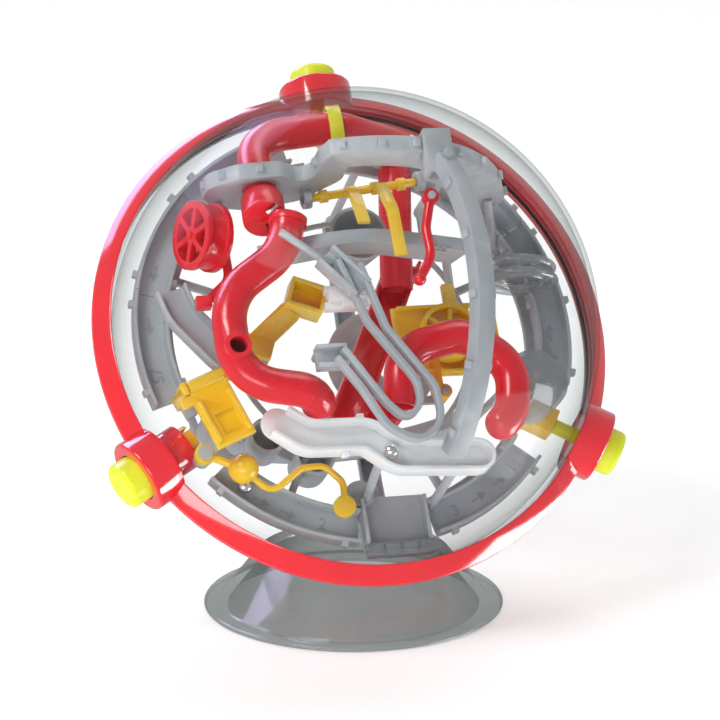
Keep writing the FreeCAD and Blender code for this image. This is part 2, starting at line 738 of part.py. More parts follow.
def make_wheel():
    """Spoked drum wheel with two rims."""
    n = V(*WHEEL_AXIS).normalize()
    parts = []
    for off in (-4.6, 4.6):
        c = V(*WHEEL_CENTRE) + n * off
        parts.append(ring((c.x, c.y, c.z), WHEEL_AXIS, 13.8, 10.8, 2.4))
        for k in range(3):
            bar = Part.makeBox(25, 2.4, 2.0, V(-12.5, -1.2, -1.0))
            bar.Placement = FreeCAD.Placement(c, FreeCAD.Rotation(V(0, 0, 1), n)).multiply(
                FreeCAD.Placement(V(0, 0, 0), FreeCAD.Rotation(V(0, 0, 1), 60 * k)))
            parts.append(bar)
    hub = rod(tuple(V(*WHEEL_CENTRE) - n * 5.8), tuple(V(*WHEEL_CENTRE) + n * 5.8), 3.6)
    drum = joined(hub, *parts)
    drum = drum.fuse(ring(WHEEL_CENTRE, WHEEL_AXIS, 12.8, 11.4, 9.6))
    bore = rod(tuple(V(*WHEEL_CENTRE) - n * 9), tuple(V(*WHEEL_CENTRE) + n * 9), 1.55)
    return drum.removeSplitter().cut(bore)


def make_wheel_bracket():
    """Axle and curved bracket under the wheel."""
    n = V(*WHEEL_AXIS).normalize()
    c = V(*WHEEL_CENTRE)
    axle = rod(tuple(c - n * 9.2), tuple(c + n * 6.6), 1.5)
    post = bent_rod([tuple(c - n * 9.2), (-55.0, 15.0, 26.5), (-64.0, 7.0, 27.5)], 1.9, 8)
    foot = box(6.0, 4.6, 5.0, (-67.0, 5.2, 27.6))
    return joined(axle, post, foot)


CAM_CENTRE = (36.0, -7.0, 10.0)


def make_cam():
    """Yellow cam drum with a finger."""
    x, y, z = CAM_CENTRE
    drum = Part.makeCylinder(12.0, 6.0, V(x, y, z))
    drum = drum.cut(Part.makeCylinder(10.2, 4.6, V(x, y, z + 1.4)))
    hub = Part.makeCylinder(3.6, 8.0, V(x, y, z))
    finger = box(5, 13, 3, (x + 3, y + 15, z + 1.6))
    spokes = [turned(box(20, 1.6, 5.0, (x, y, z + 2.6)), (0, 0, 1), a, (x, y, z)) for a in (20, 80, 140)]
    cam = joined(drum, hub, finger, *spokes)
    return cam.cut(Part.makeCylinder(1.55, 30, V(x, y, z - 8)))


def make_cam_plate():
    """Yellow back plate that carries the cam."""
    plate = box(44, 30, 1.8, (37, -8, 6.6))
    plate = plate.cut(box(8, 14, 6, (52, 2, 6.6)))
    pin = Part.makeCylinder(1.5, 12, V(CAM_CENTRE[0], CAM_CENTRE[1], 7.0))
    collar = Part.makeCylinder(3.4, 2.2, V(CAM_CENTRE[0], CAM_CENTRE[1], 7.4))
    ribs = [box(40, 1.4, 3.0, (37, y, 8.6)) for y in (-22.0, 6.2)]
    return joined(plate, pin, collar, *ribs)


PADDLE_AXIS = (26.0, -36.5, 22.0)


def make_paddle():
    """Orange flap between the ramp and the cam."""
    x, y, z = PADDLE_AXIS
    barrel = Part.makeCylinder(2.8, 9, V(x, y, z - 4.5))
    leaf = box(3.0, 17, 9, (x - 2.0, y + 9.0, z))
    leaf = leaf.common(Part.makeCylinder(17.5, 12, V(x - 2, y, z - 6)))
    rib = box(5.0, 3.0, 8.0, (x - 3, y + 11, z))
    return joined(barrel, leaf, rib).cut(Part.makeCylinder(1.55, 20, V(x, y, z - 10)))


def make_paddle_pin():
    """Pin of the flap with its foot arm."""
    x, y, z = PADDLE_AXIS
    pin = Part.makeCylinder(1.5, 12.5, V(x, y, z - 7))
    return joined(pin, Part.makeCylinder(2.6, 2.2, V(x, y, z - 7)), box(22, 3.2, 2.2, (x - 11.0, y, z - 6.1)))


# ---- fixed yellow, white and clear trim --------------------------------------
def make_connector():
    """Yellow connector box with its lower bracket."""
    shell = box(15, 12, 10, (-32, 2, 28)).cut(box(12, 9, 12, (-32, 2, 30)))
    neck = rod((-26, 6, 29), (-17, 11, 31), 2.4)
    bracket = box(9, 20, 3, (-41, -13, 26))
    bracket.rotate(V(-41, -13, 26), V(0, 0, 1), -28)
    plate = box(13, 8, 3, (-45.5, -23, 26))
    shape = joined(shell, neck, bracket, plate)
    shape.rotate(V(-32, 2, 28), V(0, 0, 1), -22)
    shape.translate(V(6.0, 2.5, 0))
    return shape


def make_white_cluster():
    """White stepped block behind the rail head."""
    stack = [box(5.5, 4.4, 7, (-17 + 5.2 * i, 1 - 3.2 * (i % 2), 38 + 1.0 * i)) for i in range(3)]
    return joined(*stack, box(18, 3, 4, (-12, -2.6, 36.0)), box(13, 2.6, 4, (-14, 4.0, 37)))


def make_yoke():
    """Lime collar round the upper tube."""
    band = pipe((-4.2, 80.7, 23.6), (1.2, 80.9, 24.6), 9.4, 2.1)
    return joined(band, box(4.6, 4.0, 8.0, (-1.5, 89.0, 20.5))).cut(rod((-12, 80, 21), (12, 81, 25), 7.35))


def make_smoky_cup():
    """Smoky catch cup behind the claws."""
    cup = Part.makeCone(9.5, 12.0, 15, V(2, 34, 8), V(0, 0, 1))
    return cup.cut(Part.makeCone(8.3, 10.9, 15.2, V(2, 34, 9.4), V(0, 0, 1)))


def make_spiral(offset):
    """One loop of the clear coil on the right, two rings tied by short webs."""
    x, y, z = 69, 13 + offset, 16
    lean = V(0.12, 1, 0.1)
    outer = Part.makeTorus(14.0, 1.8, V(x, y, z), lean)
    inner = Part.makeTorus(9.4, 1.3, V(x, y, z), lean)
    web = []
    for a in (0.4, 2.5, 4.6):
        side = V(math.cos(a), 0, math.sin(a))
        side.y = -(side.x * lean.x + side.z * lean.z)
        web.append(rod((x + side.x * 9.4, y + side.y * 9.4, z + side.z * 9.4),
                       (x + side.x * 13.6, y + side.y * 13.6, z + side.z * 13.6), 0.9))
    return joined(outer, inner, *web)


def make_hood():
    """Clear gray hood over the right plunger."""
    hood = pipe((64, -35, 12), (64, -35, 27), 13.0, 1.3)
    hood = hood.common(box(30, 40, 40, (68, -35, 19)))
    roof = Part.makeCylinder(13.0, 1.3, V(64, -35, 27)).common(box(30, 40, 4, (68, -35, 27)))
    return joined(hood, roof).common(ball((0, 0, 0), 96))


# ---- rear half of the course (not seen, simple matching pieces) ---------------
def make_rear_hoop():
    """Hoop channel round the back."""
    hoop = revolve(hoop_outline(81.5, 88.0, 4.5), 110, -55)
    hoop.rotate(V(0, 0, 0), V(0, 1, 0), 90)
    hoop.rotate(V(0, 0, 0), V(0, 1, 0), -15)
    return hoop


def make_rear_track():
    """Level track round the back."""
    arc = level_arc(66.0, -30.0, 125, 245)
    return joined(arc, *lug_row(73.2, -27, (132, 150, 168, 186, 204, 222, 238)))


def make_rear_spiral():
    """Bowl shaped turntable at the back."""
    bowl = Part.makeCone(24, 15, 9, V(24, 4, -46), V(0, 0, -1))
    bowl = bowl.cut(Part.makeCone(22.4, 13.4, 9, V(24, 4, -44.4), V(0, 0, -1)))
    return bowl.cut(Part.makeCylinder(5, 60, V(30, 4, -80)))


def make_core_frame():
    """Inner frame of ribs that ties the decks to the equator track."""
    parts = [ring((0, 0, -4.0), (0, 0, 1), 79.0, 74.0, 3.0)]
    for a in (20, 65, 112, 158, 242, 292):
        parts.append(turned(box(26, 3.0, 3.0, (63.5, 0, -4.0)), (0, 0, 1), a))
    parts.append(ring((0, 0, -4.5), (0, 0, 1), 51.5, 49.5, 2.0))
    frame = joined(*parts)
    for angle in BUTTON_ANGLES.values():
        frame = frame.cut(on_arm(box(24, 17, 20, (80, 0, 0)), angle))
    return frame


def make_track_posts():
    """Slim posts from the core frame up to the front decks."""
    spots = [
        ((-62.5, 46.0, -5), (-55.0, 48.4, 27.0)),
        ((68.0, 35.0, -5), (60.0, 48.4, 20.0)),
        ((20.0, -76.5, -5), (21.5, -72.0, 37.9)),
        ((-6.0, -73.0, -5), (-8.0, -66.0, 37.9)),
        ((46.0, 22.0, -5), (34.0, 20.0, 31.0)),
    ]
    return [rod(a, b, 1.8) for a, b in spots]


def make_dome_screws():
    """Six small screws that hold the ring halves together."""
    screws = []
    for angle in (60, 120, 180, 240, 300, 0):
        head = Part.makeCylinder(1.5, 1.2, V(103.6, 0, -5.0))
        shank = Part.makeCylinder(0.75, 6.0, V(103.6, 0, -4.0))
        screws.append(turned(joined(head, shank), (0, 0, 1), angle))
    return screws


# ---- assembly ----------------------------------------------------------------
def build():
    """All pieces, in the globe's frame except the stand."""
    fixed = {}
    fixed["front_dome"] = make_dome(+1)
    fixed["rear_dome"] = make_dome(-1)
    screws = make_dome_screws()
    fixed["ring_front_half"] = make_ring_half(+1)
    fixed["ring_rear_half"] = make_ring_half(-1)
    for name, angle in BUTTON_ANGLES.items():
        fixed["button_boss_" + name] = make_boss(angle)
    fixed["core_frame"] = make_core_frame()
    fixed["equator_track"] = make_equator_track()
    fixed["start_plate"] = joined(make_start_plate(), make_end_disc())
    fixed["start_clip"] = make_start_clip()
    fixed["serpentine_tube"] = make_s_tube()
    fixed["upper_tube"] = make_upper_tube()
    fixed["drop_tube"] = make_drop_tube()
    fixed["arc_tube"] = make_arc_tube()
    fixed["funnel"] = make_funnel()
    fixed["red_ramp"] = make_red_ramp()
    fixed["red_switch_block"] = make_red_post()
    fixed["upper_track_left"] = make_upper_track_left()
    fixed["upper_track_right"] = make_upper_track_right()
    fixed["front_beam"] = joined(make_front_beam(), make_beam_block())
    fixed["middle_band"] = make_mid_band()
    fixed["left_slide"] = make_left_slide()
    fixed["white_trough"] = make_trough()
    fixed["hairpin_rails"] = Part.Compound([make_rail(RAIL_OUTER), make_rail(RAIL_INNER)])
    fixed["rail_blocks"] = Part.Compound([make_rail_head(), make_rail_anchor()])
    fixed["catch_cups"] = Part.Compound([make_lower_cups(), make_smoky_cup()])
    fixed["gate_frame"] = make_gate_frame()
    pins = make_crank_bearings() + [make_lever_pin(), make_red_lever_pin(), make_paddle_pin()]
    fixed["pivot_pins"] = Part.Compound(pins)
    fixed["wheel_bracket"] = make_wheel_bracket()
    fixed["cam_plate"] = make_cam_plate()
    fixed["connector_box"] = make_connector()
    fixed["white_cluster"] = make_white_cluster()
    fixed["tube_yoke"] = make_yoke()
    fixed["clear_coil"] = Part.Compound([make_spiral(0), make_spiral(5.5)])
    fixed["right_hood"] = make_hood()
    fixed["rear_hoop"] = make_rear_hoop()
    fixed["rear_track"] = make_rear_track()
    fixed["rear_bowl"] = make_rear_spiral()
    fixed["track_posts"] = Part.Compound(make_track_posts())

    for half in ("ring_front_half", "ring_rear_half"):
        for screw in screws:
            fixed[half] = fixed[half].cut(screw)
    fixed["ring_screws"] = Part.Compound(screws)

    moving = {}
    for name, angle in BUTTON_ANGLES.items():
        moving["button_" + name] = make_button(angle)
        moving["button_spring_" + name] = make_spring(angle)
    moving["plunger_top"] = make_plunger_top()
    moving["plunger_left"] = make_plunger_left()
    moving["plunger_right"] = make_plunger_right()
    moving["ball_lever"] = make_lever()
    moving["swing_gate"] = make_gate()
    moving["claw_crank"] = make_crank()
    moving["red_lever"] = make_red_lever()
    moving["drum_wheel"] = make_wheel()
    moving["cam_drum"] = make_cam()
    moving["orange_flap"] = make_paddle()
    lift = BALL_RADIUS + 0.02
    moving["steel_ball_trough"] = ball((-5.6, -66.07, 38 + TRACK_WALL + lift), BALL_RADIUS)
    start = turned(Part.Vertex(EQUATOR_MIDDLE, 0, TRACK_FLOOR + lift), (0, 0, 1), 229.0)
    moving["steel_ball_track"] = ball(tuple(start.Point), BALL_RADIUS)
    return fixed, moving


def trim_overlaps(fixed):
    """Let every later piece give way to the earlier ones it would run into."""
    names = list(fixed)
    for i, name in enumerate(names):
        shape = fixed[name]
        for other in names[:i]:
            if not shape.BoundBox.intersect(fixed[other].BoundBox):
                continue
            if shape.common(fixed[other]).Volume > 1e-4:
                shape = shape.cut(fixed[other])
        solids = shape.Solids
        largest = max(s.Volume for s in solids)
        kept = [s for s in solids if s.Volume > 0.04 * largest]
        fixed[name] = kept[0] if len(kept) == 1 else Part.Compound(kept)
    return fixed


def main():
    """Build every piece and write one STEP file for each."""
    os.makedirs("parts", exist_ok=True)
    fixed, moving = build()
    fixed = trim_overlaps(fixed)
    make_stand().exportStep(os.path.join("parts", "display_stand.step"))
    for group in (fixed, moving):
        for name, shape in group.items():
            place_in_globe(shape).exportStep(os.path.join("parts", name + ".step"))


main()
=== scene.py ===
import json
import logging
import math
from dataclasses import dataclass, field
from enum import Enum
from typing import Iterable, Sequence

import bmesh
import bpy
from mathutils import Matrix, Vector


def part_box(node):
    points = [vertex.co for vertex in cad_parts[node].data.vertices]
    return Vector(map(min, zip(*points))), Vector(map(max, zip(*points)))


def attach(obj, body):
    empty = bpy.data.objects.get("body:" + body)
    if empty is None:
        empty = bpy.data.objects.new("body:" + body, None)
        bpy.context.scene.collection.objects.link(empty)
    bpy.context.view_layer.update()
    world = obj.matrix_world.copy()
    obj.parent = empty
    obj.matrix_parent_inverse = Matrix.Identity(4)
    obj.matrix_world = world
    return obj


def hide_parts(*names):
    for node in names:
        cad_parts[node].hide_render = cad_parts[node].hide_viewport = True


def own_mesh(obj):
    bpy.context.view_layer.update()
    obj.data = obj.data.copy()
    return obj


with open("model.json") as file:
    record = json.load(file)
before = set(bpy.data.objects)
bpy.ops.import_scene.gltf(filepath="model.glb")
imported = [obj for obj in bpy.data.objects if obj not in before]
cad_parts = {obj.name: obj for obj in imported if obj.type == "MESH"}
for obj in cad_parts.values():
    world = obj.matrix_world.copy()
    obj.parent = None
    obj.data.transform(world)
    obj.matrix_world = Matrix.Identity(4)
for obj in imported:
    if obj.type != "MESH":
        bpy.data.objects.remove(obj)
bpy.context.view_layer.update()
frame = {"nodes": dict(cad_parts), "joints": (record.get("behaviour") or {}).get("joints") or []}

LOG = logging.getLogger("tilt_maze")
MM = 0.001
Piece = bpy.types.Object
Socket = bpy.types.NodeSocket
Colour = tuple[float, float, float]
Span = tuple[float, float]


# ---- where things are ---------------------------------------------------------
def joint_named(name: str) -> dict:
    """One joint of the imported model.

    Args:
        name: the joint's name in the record.

    Returns:
        The joint's own entry.
    """
    return next(j for j in frame["joints"] if j["name"] == name)


class GlobeFrame:
    """The globe's own axes: x to the right, y up the slope to the top button, z out of the front dome."""

    def __init__(self) -> None:
        """Reads the axes from the joints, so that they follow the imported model."""
        self.centre = Vector(joint_named("track_ball_roll")["pos_m"])
        self.out = Vector(joint_named("cam_turn")["axis"]).normalized()
        self.up = -Vector(joint_named("press_top")["axis"]).normalized()
        self.right = self.up.cross(self.out).normalized()
        axes = Matrix((self.right, self.up, self.out)).transposed().to_4x4()
        self.matrix = Matrix.Translation(self.centre) @ axes

    def place(self, mesh: bpy.types.Mesh) -> None:
        """Moves a mesh drawn in the globe's frame, in metres, to where the globe stands."""
        mesh.transform(self.matrix)
        mesh.update()

    def arm(self, degrees: float) -> Matrix:
        """The turn that carries +X round to a button's direction."""
        return Matrix.Rotation(math.radians(degrees), 4, "Z")

    def stem(self, degrees: float) -> Matrix:
        """The turn that lays +Z along a button's direction."""
        return self.arm(degrees) @ Matrix.Rotation(math.radians(90), 4, "Y")


GLOBE = GlobeFrame()


class Side(Enum):
    """The two half globes."""

    FRONT = 1
    REAR = -1


class ButtonSpot(Enum):
    """Where each push button sits on the ring, in degrees from the globe's right."""

    TOP = 90.0
    LEFT = 210.0
    RIGHT = 330.0

    @property
    def word(self) -> str:
        """The spot's word in node names."""
        return self.name.lower()


# ---- node desk: short calls for shader and geometry trees -----------------------
class Desk:
    """A node tree with short calls for adding and joining nodes."""

    def __init__(self, tree: bpy.types.NodeTree) -> None:
        """Keeps the tree and empties it."""
        self.tree = tree
        tree.nodes.clear()

    def add(self, kind: str, **settings: object) -> bpy.types.Node:
        """Adds a node.

        Args:
            kind: the node's type name.
            settings: attributes set on it.

        Returns:
            The new node.
        """
        node = self.tree.nodes.new(kind)
        for key, value in settings.items():
            setattr(node, key, value)
        return node

    def feed(self, node: bpy.types.Node, **inputs: object) -> bpy.types.Node:
        """Sets or links inputs by name, with underscores for spaces.

        Args:
            node: the node to feed.
            inputs: a value, or a socket to link from.

        Returns:
            The same node.
        """
        for key, value in inputs.items():
            socket = node.inputs[key.replace("_", " ")]
            self.into(socket, value)
        return node

    def into(self, socket: Socket, value: object) -> None:
        """Sets one socket, or links it."""
        if isinstance(value, Socket):
            self.tree.links.new(value, socket)
        else:
            socket.default_value = value

    def math(self, operation: str, *values: object) -> Socket:
        """A Math node's result."""
        node = self.add("ShaderNodeMath", operation=operation)
        for socket, value in zip(node.inputs, values):
            self.into(socket, value)
        return node.outputs[0]

    def ramp(self, value: object, low: float, high: float, to_low: float,
             to_high: float) -> Socket:
        """Maps one span of a value onto another, clamped."""
        node = self.add("ShaderNodeMapRange")
        for socket, number in zip(node.inputs, (value, low, high, to_low, to_high)):
            self.into(socket, number)
        return node.outputs[0]

    def blend_colour(self, factor: object, first: Sequence[float],
                     second: Sequence[float]) -> Socket:
        """Mixes two colours by a factor."""
        node = self.add("ShaderNodeMix", data_type="RGBA")
        self.into(node.inputs[0], factor)
        self.into(node.inputs[6], (*first, 1.0))
        self.into(node.inputs[7], (*second, 1.0))
        return node.outputs[2]

    def noise(self, where: object, scale: float, detail: float = 3.0,
              stretch: Sequence[float] = (1, 1, 1)) -> Socket:
        """A noise pattern on object coordinates.

        Args:
            where: the coordinate socket.
            scale: how many cells to the metre.
            detail: octaves.
            stretch: how the pattern is pulled along each axis.

        Returns:
            The pattern's value socket.
        """
        mapping = self.add("ShaderNodeMapping")
        self.feed(mapping, Vector=where, Scale=stretch)
        pattern = self.add("ShaderNodeTexNoise")
        self.feed(pattern, Vector=mapping.outputs[0], Scale=scale, Detail=detail)
        return pattern.outputs[0]

    def bump(self, height: object, strength: float, depth: float) -> Socket:
        """Turns a height pattern into a normal."""
        node = self.add("ShaderNodeBump")
        self.feed(node, Height=height, Strength=strength, Distance=depth)
        return node.outputs[0]


# ---- finishes -------------------------------------------------------------------
@dataclass(frozen=True)
class Finish:
    """A named surface finish and the record slot it stands for."""

    name: str
    slot: str

    def material(self) -> bpy.types.Material:
        """The finish's material, built once."""
        found = bpy.data.materials.get(self.name)
        if found is None:
            found = bpy.data.materials.new(self.name)
            found.use_nodes = True
            self.paint(Desk(found.node_tree))
        return found

    def paint(self, desk: Desk) -> None:
        """Draws the shader; each kind of finish has its own."""
        raise NotImplementedError


@dataclass(frozen=True)
class MouldedPlastic(Finish):
    """Opaque injection-moulded plastic with a fine skin, soft mottling and paler edges."""

    colour: Colour = (0.6, 0.6, 0.6)
    shade: Colour = (0.5, 0.5, 0.5)
    edge: Colour = (0.8, 0.8, 0.8)
    gloss: Span = (0.2, 0.34)
    grain: float = 0.05
    glow: float = 0.0
    coat: float = 0.0

    def paint(self, desk: Desk) -> None:
        """Mottled colour, paler sharp edges broken up by noise, uneven gloss and a fine moulded grain."""
        where = desk.add("ShaderNodeTexCoord").outputs["Object"]
        cloud = desk.noise(where, 60.0, 3.0)
        flow = desk.noise(where, 35.0, 4.0, (1.0, 1.0, 5.0))
        smear = desk.noise(where, 220.0, 4.0)
        skin = desk.noise(where, 2600.0, 2.0)
        mottled = desk.blend_colour(desk.ramp(cloud, 0.35, 0.7, 0.0, 1.0), self.colour, self.shade)
        point = desk.add("ShaderNodeNewGeometry").outputs["Pointiness"]
        # sharp convex edges (high pointiness) are mixed towards the paler edge colour, patchy by noise
        ridges = desk.ramp(point, 0.52, 0.62, 0.0, 0.7)
        edge_pale_mask = desk.math("MULTIPLY", ridges, desk.ramp(smear, 0.3, 0.7, 0.4, 1.0))
        edge_paled = desk.add("ShaderNodeMix", data_type="RGBA")
        desk.into(edge_paled.inputs[0], edge_pale_mask)
        desk.into(edge_paled.inputs[6], mottled)
        desk.into(edge_paled.inputs[7], (*self.edge, 1.0))
        gloss = desk.math("MULTIPLY_ADD", smear, 0.5, desk.math("MULTIPLY", flow, 0.5))
        height = desk.math("ADD", skin, desk.math("MULTIPLY", smear, 1.5))
        body = desk.add("ShaderNodeBsdfPrincipled")
        desk.feed(body, Base_Color=edge_paled.outputs[2], Roughness=desk.ramp(gloss, 0.3, 0.7, *self.gloss),
                  Normal=desk.bump(height, self.grain, 0.00012))
        body.inputs["Coat Weight"].default_value = self.coat
        body.inputs["Coat Roughness"].default_value = 0.06
        body.inputs["IOR"].default_value = 1.5
        body.inputs["Subsurface Weight"].default_value = self.glow
        body.inputs["Subsurface Radius"].default_value = (0.004, 0.002, 0.0015)
        body.inputs["Subsurface Scale"].default_value = 1.0
        out = desk.add("ShaderNodeOutputMaterial")
        desk.feed(out, Surface=body.outputs[0])


@dataclass(frozen=True)
class SeeThroughPlastic(Finish):
    """Thin clear plastic: clear face on, denser at a glancing angle, with smudges and hairlines."""

    face: Colour = (0.98, 0.985, 0.985)
    rim: Colour = (0.6, 0.65, 0.65)
    body: Colour = (0.8, 0.83, 0.84)
    body_share: Span = (0.02, 0.12)
    rim_start: float = 0.55
    mirror: Span = (0.03, 0.10)
    mirror_share: Span = (0.02, 0.35)

    def paint(self, desk: Desk) -> None:
        """A tinted window with a little milky body, and a glossy skin that grows at a glancing angle."""
        where = desk.add("ShaderNodeTexCoord").outputs["Object"]
        smudge = desk.noise(where, 45.0, 5.0)
        hair = desk.noise(where, 900.0, 2.0, (1.0, 14.0, 1.0))
        facing = desk.add("ShaderNodeLayerWeight")
        facing.inputs["Blend"].default_value = 0.5
        glancing = desk.ramp(facing.outputs["Facing"], self.rim_start, 1.0, 0.0, 1.0)
        glancing = desk.math("POWER", glancing, 2.0)
        window = desk.add("ShaderNodeBsdfTransparent")
        desk.feed(window, Color=desk.blend_colour(glancing, self.face, self.rim))
        bumps = desk.bump(desk.math("ADD", smudge, desk.math("MULTIPLY", hair, 0.15)), 0.06, 0.0003)
        skin = desk.add("ShaderNodeBsdfPrincipled")
        tint = desk.blend_colour(smudge, self.body, tuple(c * 0.92 for c in self.body))
        desk.feed(skin, Base_Color=tint, Roughness=desk.ramp(smudge, 0.35, 0.7, *self.mirror), Normal=bumps)
        skin.inputs["IOR"].default_value = 1.49
        share = desk.ramp(glancing, 0.0, 1.0, *self.body_share)
        share = desk.math("MULTIPLY", share, desk.ramp(smudge, 0.2, 0.8, 0.7, 1.3))
        cloudy = desk.add("ShaderNodeMixShader")
        desk.into(cloudy.inputs[0], share)
        desk.into(cloudy.inputs[1], window.outputs[0])
        desk.into(cloudy.inputs[2], skin.outputs[0])
        shine = desk.add("ShaderNodeBsdfAnisotropic")
        desk.feed(shine, Color=(1.0, 1.0, 1.0, 1.0), Normal=bumps,
                  Roughness=desk.ramp(smudge, 0.35, 0.7, *self.mirror))
        steep = desk.math("POWER", facing.outputs["Facing"], 4.0)
        glint = desk.add("ShaderNodeMixShader")
        desk.into(glint.inputs[0], desk.ramp(steep, 0.0, 1.0, *self.mirror_share))
        desk.into(glint.inputs[1], cloudy.outputs[0])
        desk.into(glint.inputs[2], shine.outputs[0])
        out = desk.add("ShaderNodeOutputMaterial")
        desk.feed(out, Surface=glint.outputs[0])


@dataclass(frozen=True)
class PolishedSteel(Finish):
    """Bright steel with faint rolling marks."""

    colour: Colour = (0.86, 0.87, 0.88)
    gloss: Span = (0.05, 0.16)

    def paint(self, desk: Desk) -> None:
        """Metal with fine scratches and a little haze."""
        where = desk.add("ShaderNodeTexCoord").outputs["Object"]
        haze = desk.noise(where, 400.0, 4.0)
        scratch = desk.noise(where, 3000.0, 2.0, (1.0, 8.0, 1.0))
        tint = desk.blend_colour(haze, self.colour, tuple(c * 0.8 for c in self.colour))
        metal = desk.add("ShaderNodeBsdfPrincipled")
        desk.feed(metal, Base_Color=tint, Roughness=desk.ramp(haze, 0.3, 0.7, *self.gloss),
                  Normal=desk.bump(scratch, 0.04, 0.00005))
        metal.inputs["Metallic"].default_value = 1.0
        out = desk.add("ShaderNodeOutputMaterial")
        desk.feed(out, Surface=metal.outputs[0])


@dataclass(frozen=True)
class StudioPaper(Finish):
    """White background paper with a trace of fibre."""

    def paint(self, desk: Desk) -> None:
        """Near-white, matt, with a faint grain."""
        where = desk.add("ShaderNodeTexCoord").outputs["Object"]
        fibre = desk.noise(where, 500.0, 3.0)
        paper = desk.add("ShaderNodeBsdfPrincipled")
        desk.feed(paper, Base_Color=desk.blend_colour(fibre, (0.93, 0.93, 0.935), (0.9, 0.9, 0.905)),
                  Normal=desk.bump(fibre, 0.02, 0.0002))
        paper.inputs["Roughness"].default_value = 0.75
        paper.inputs["Specular IOR Level"].default_value = 0.15
        paper.inputs["Emission Color"].default_value = (1.0, 1.0, 1.0, 1.0)
        seen = desk.add("ShaderNodeLightPath").outputs["Is Camera Ray"]
        desk.feed(paper, Emission_Strength=desk.ramp(seen, 0.0, 1.0, 0.68, 0.34))
        out = desk.add("ShaderNodeOutputMaterial")
        desk.feed(out, Surface=paper.outputs[0])


RED = MouldedPlastic("red_gloss_plastic", "red_plastic", (0.86, 0.007, 0.02), (0.80, 0.005, 0.016),
                     (0.95, 0.03, 0.05), (0.10, 0.18), 0.02, 0.0, 1.0)
RED_INNER = MouldedPlastic("red_course_plastic", "red_plastic", (0.78, 0.008, 0.022), (0.68, 0.006, 0.018),
                           (0.92, 0.03, 0.05), (0.18, 0.30), 0.04, 0.05, 0.2)
LIME = MouldedPlastic("lime_cap_plastic", "lime_plastic", (0.80, 0.90, 0.02), (0.72, 0.84, 0.02),
                      (0.90, 0.96, 0.2), (0.3, 0.42), 0.08, 0.15, 0.1)
GRAY = MouldedPlastic("gray_course_plastic", "gray_plastic", (0.42, 0.45, 0.48), (0.36, 0.385, 0.415),
                      (0.62, 0.65, 0.68), (0.34, 0.5), 0.10, 0.0, 0.1)
GRAY_MARK = MouldedPlastic("gray_mark_plastic", "gray_plastic", (0.24, 0.26, 0.29), (0.2, 0.22, 0.25),
                           (0.4, 0.42, 0.45), (0.4, 0.55), 0.08)
YELLOW = MouldedPlastic("amber_yellow_plastic", "yellow_plastic", (0.93, 0.60, 0.02), (0.86, 0.50, 0.01),
                        (0.98, 0.80, 0.2), (0.18, 0.3), 0.05, 0.35, 0.3)
YOKE = MouldedPlastic("lime_yellow_plastic", "yellow_plastic", (0.86, 0.80, 0.02), (0.78, 0.72, 0.01),
                      (0.95, 0.92, 0.2), (0.18, 0.3), 0.05, 0.2, 0.3)
ORANGE = MouldedPlastic("orange_plastic", "orange_plastic", (0.93, 0.30, 0.01), (0.84, 0.24, 0.01),
                        (0.98, 0.5, 0.1), (0.18, 0.3), 0.05, 0.35, 0.3)
WHITE = MouldedPlastic("milky_white_plastic", "white_translucent", (0.86, 0.88, 0.89), (0.80, 0.82, 0.84),
                       (0.95, 0.96, 0.96), (0.16, 0.28), 0.04, 0.3, 0.4)
DOME = SeeThroughPlastic("clear_dome_plastic", "clear_dome", (0.975, 0.978, 0.977), (0.66, 0.69, 0.68),
                         (0.80, 0.83, 0.83), (0.003, 0.03), 0.35, (0.02, 0.06), (0.002, 0.06))
SMOKE = SeeThroughPlastic("smoky_stand_plastic", "smoky_clear", (0.68, 0.70, 0.695), (0.36, 0.40, 0.39),
                          (0.32, 0.35, 0.345), (0.16, 0.40), 0.3, (0.03, 0.09), (0.02, 0.3))
TRIM = SeeThroughPlastic("clear_trim_plastic", "clear_trim", (0.84, 0.855, 0.865), (0.42, 0.46, 0.48),
                         (0.42, 0.45, 0.47), (0.32, 0.65), 0.2, (0.04, 0.1), (0.03, 0.35))
STEEL = PolishedSteel("polished_steel", "steel")
WIRE = PolishedSteel("drawn_spring_wire", "spring_steel", (0.6, 0.6, 0.62), (0.2, 0.35))
PAPER = StudioPaper("studio_paper", "")


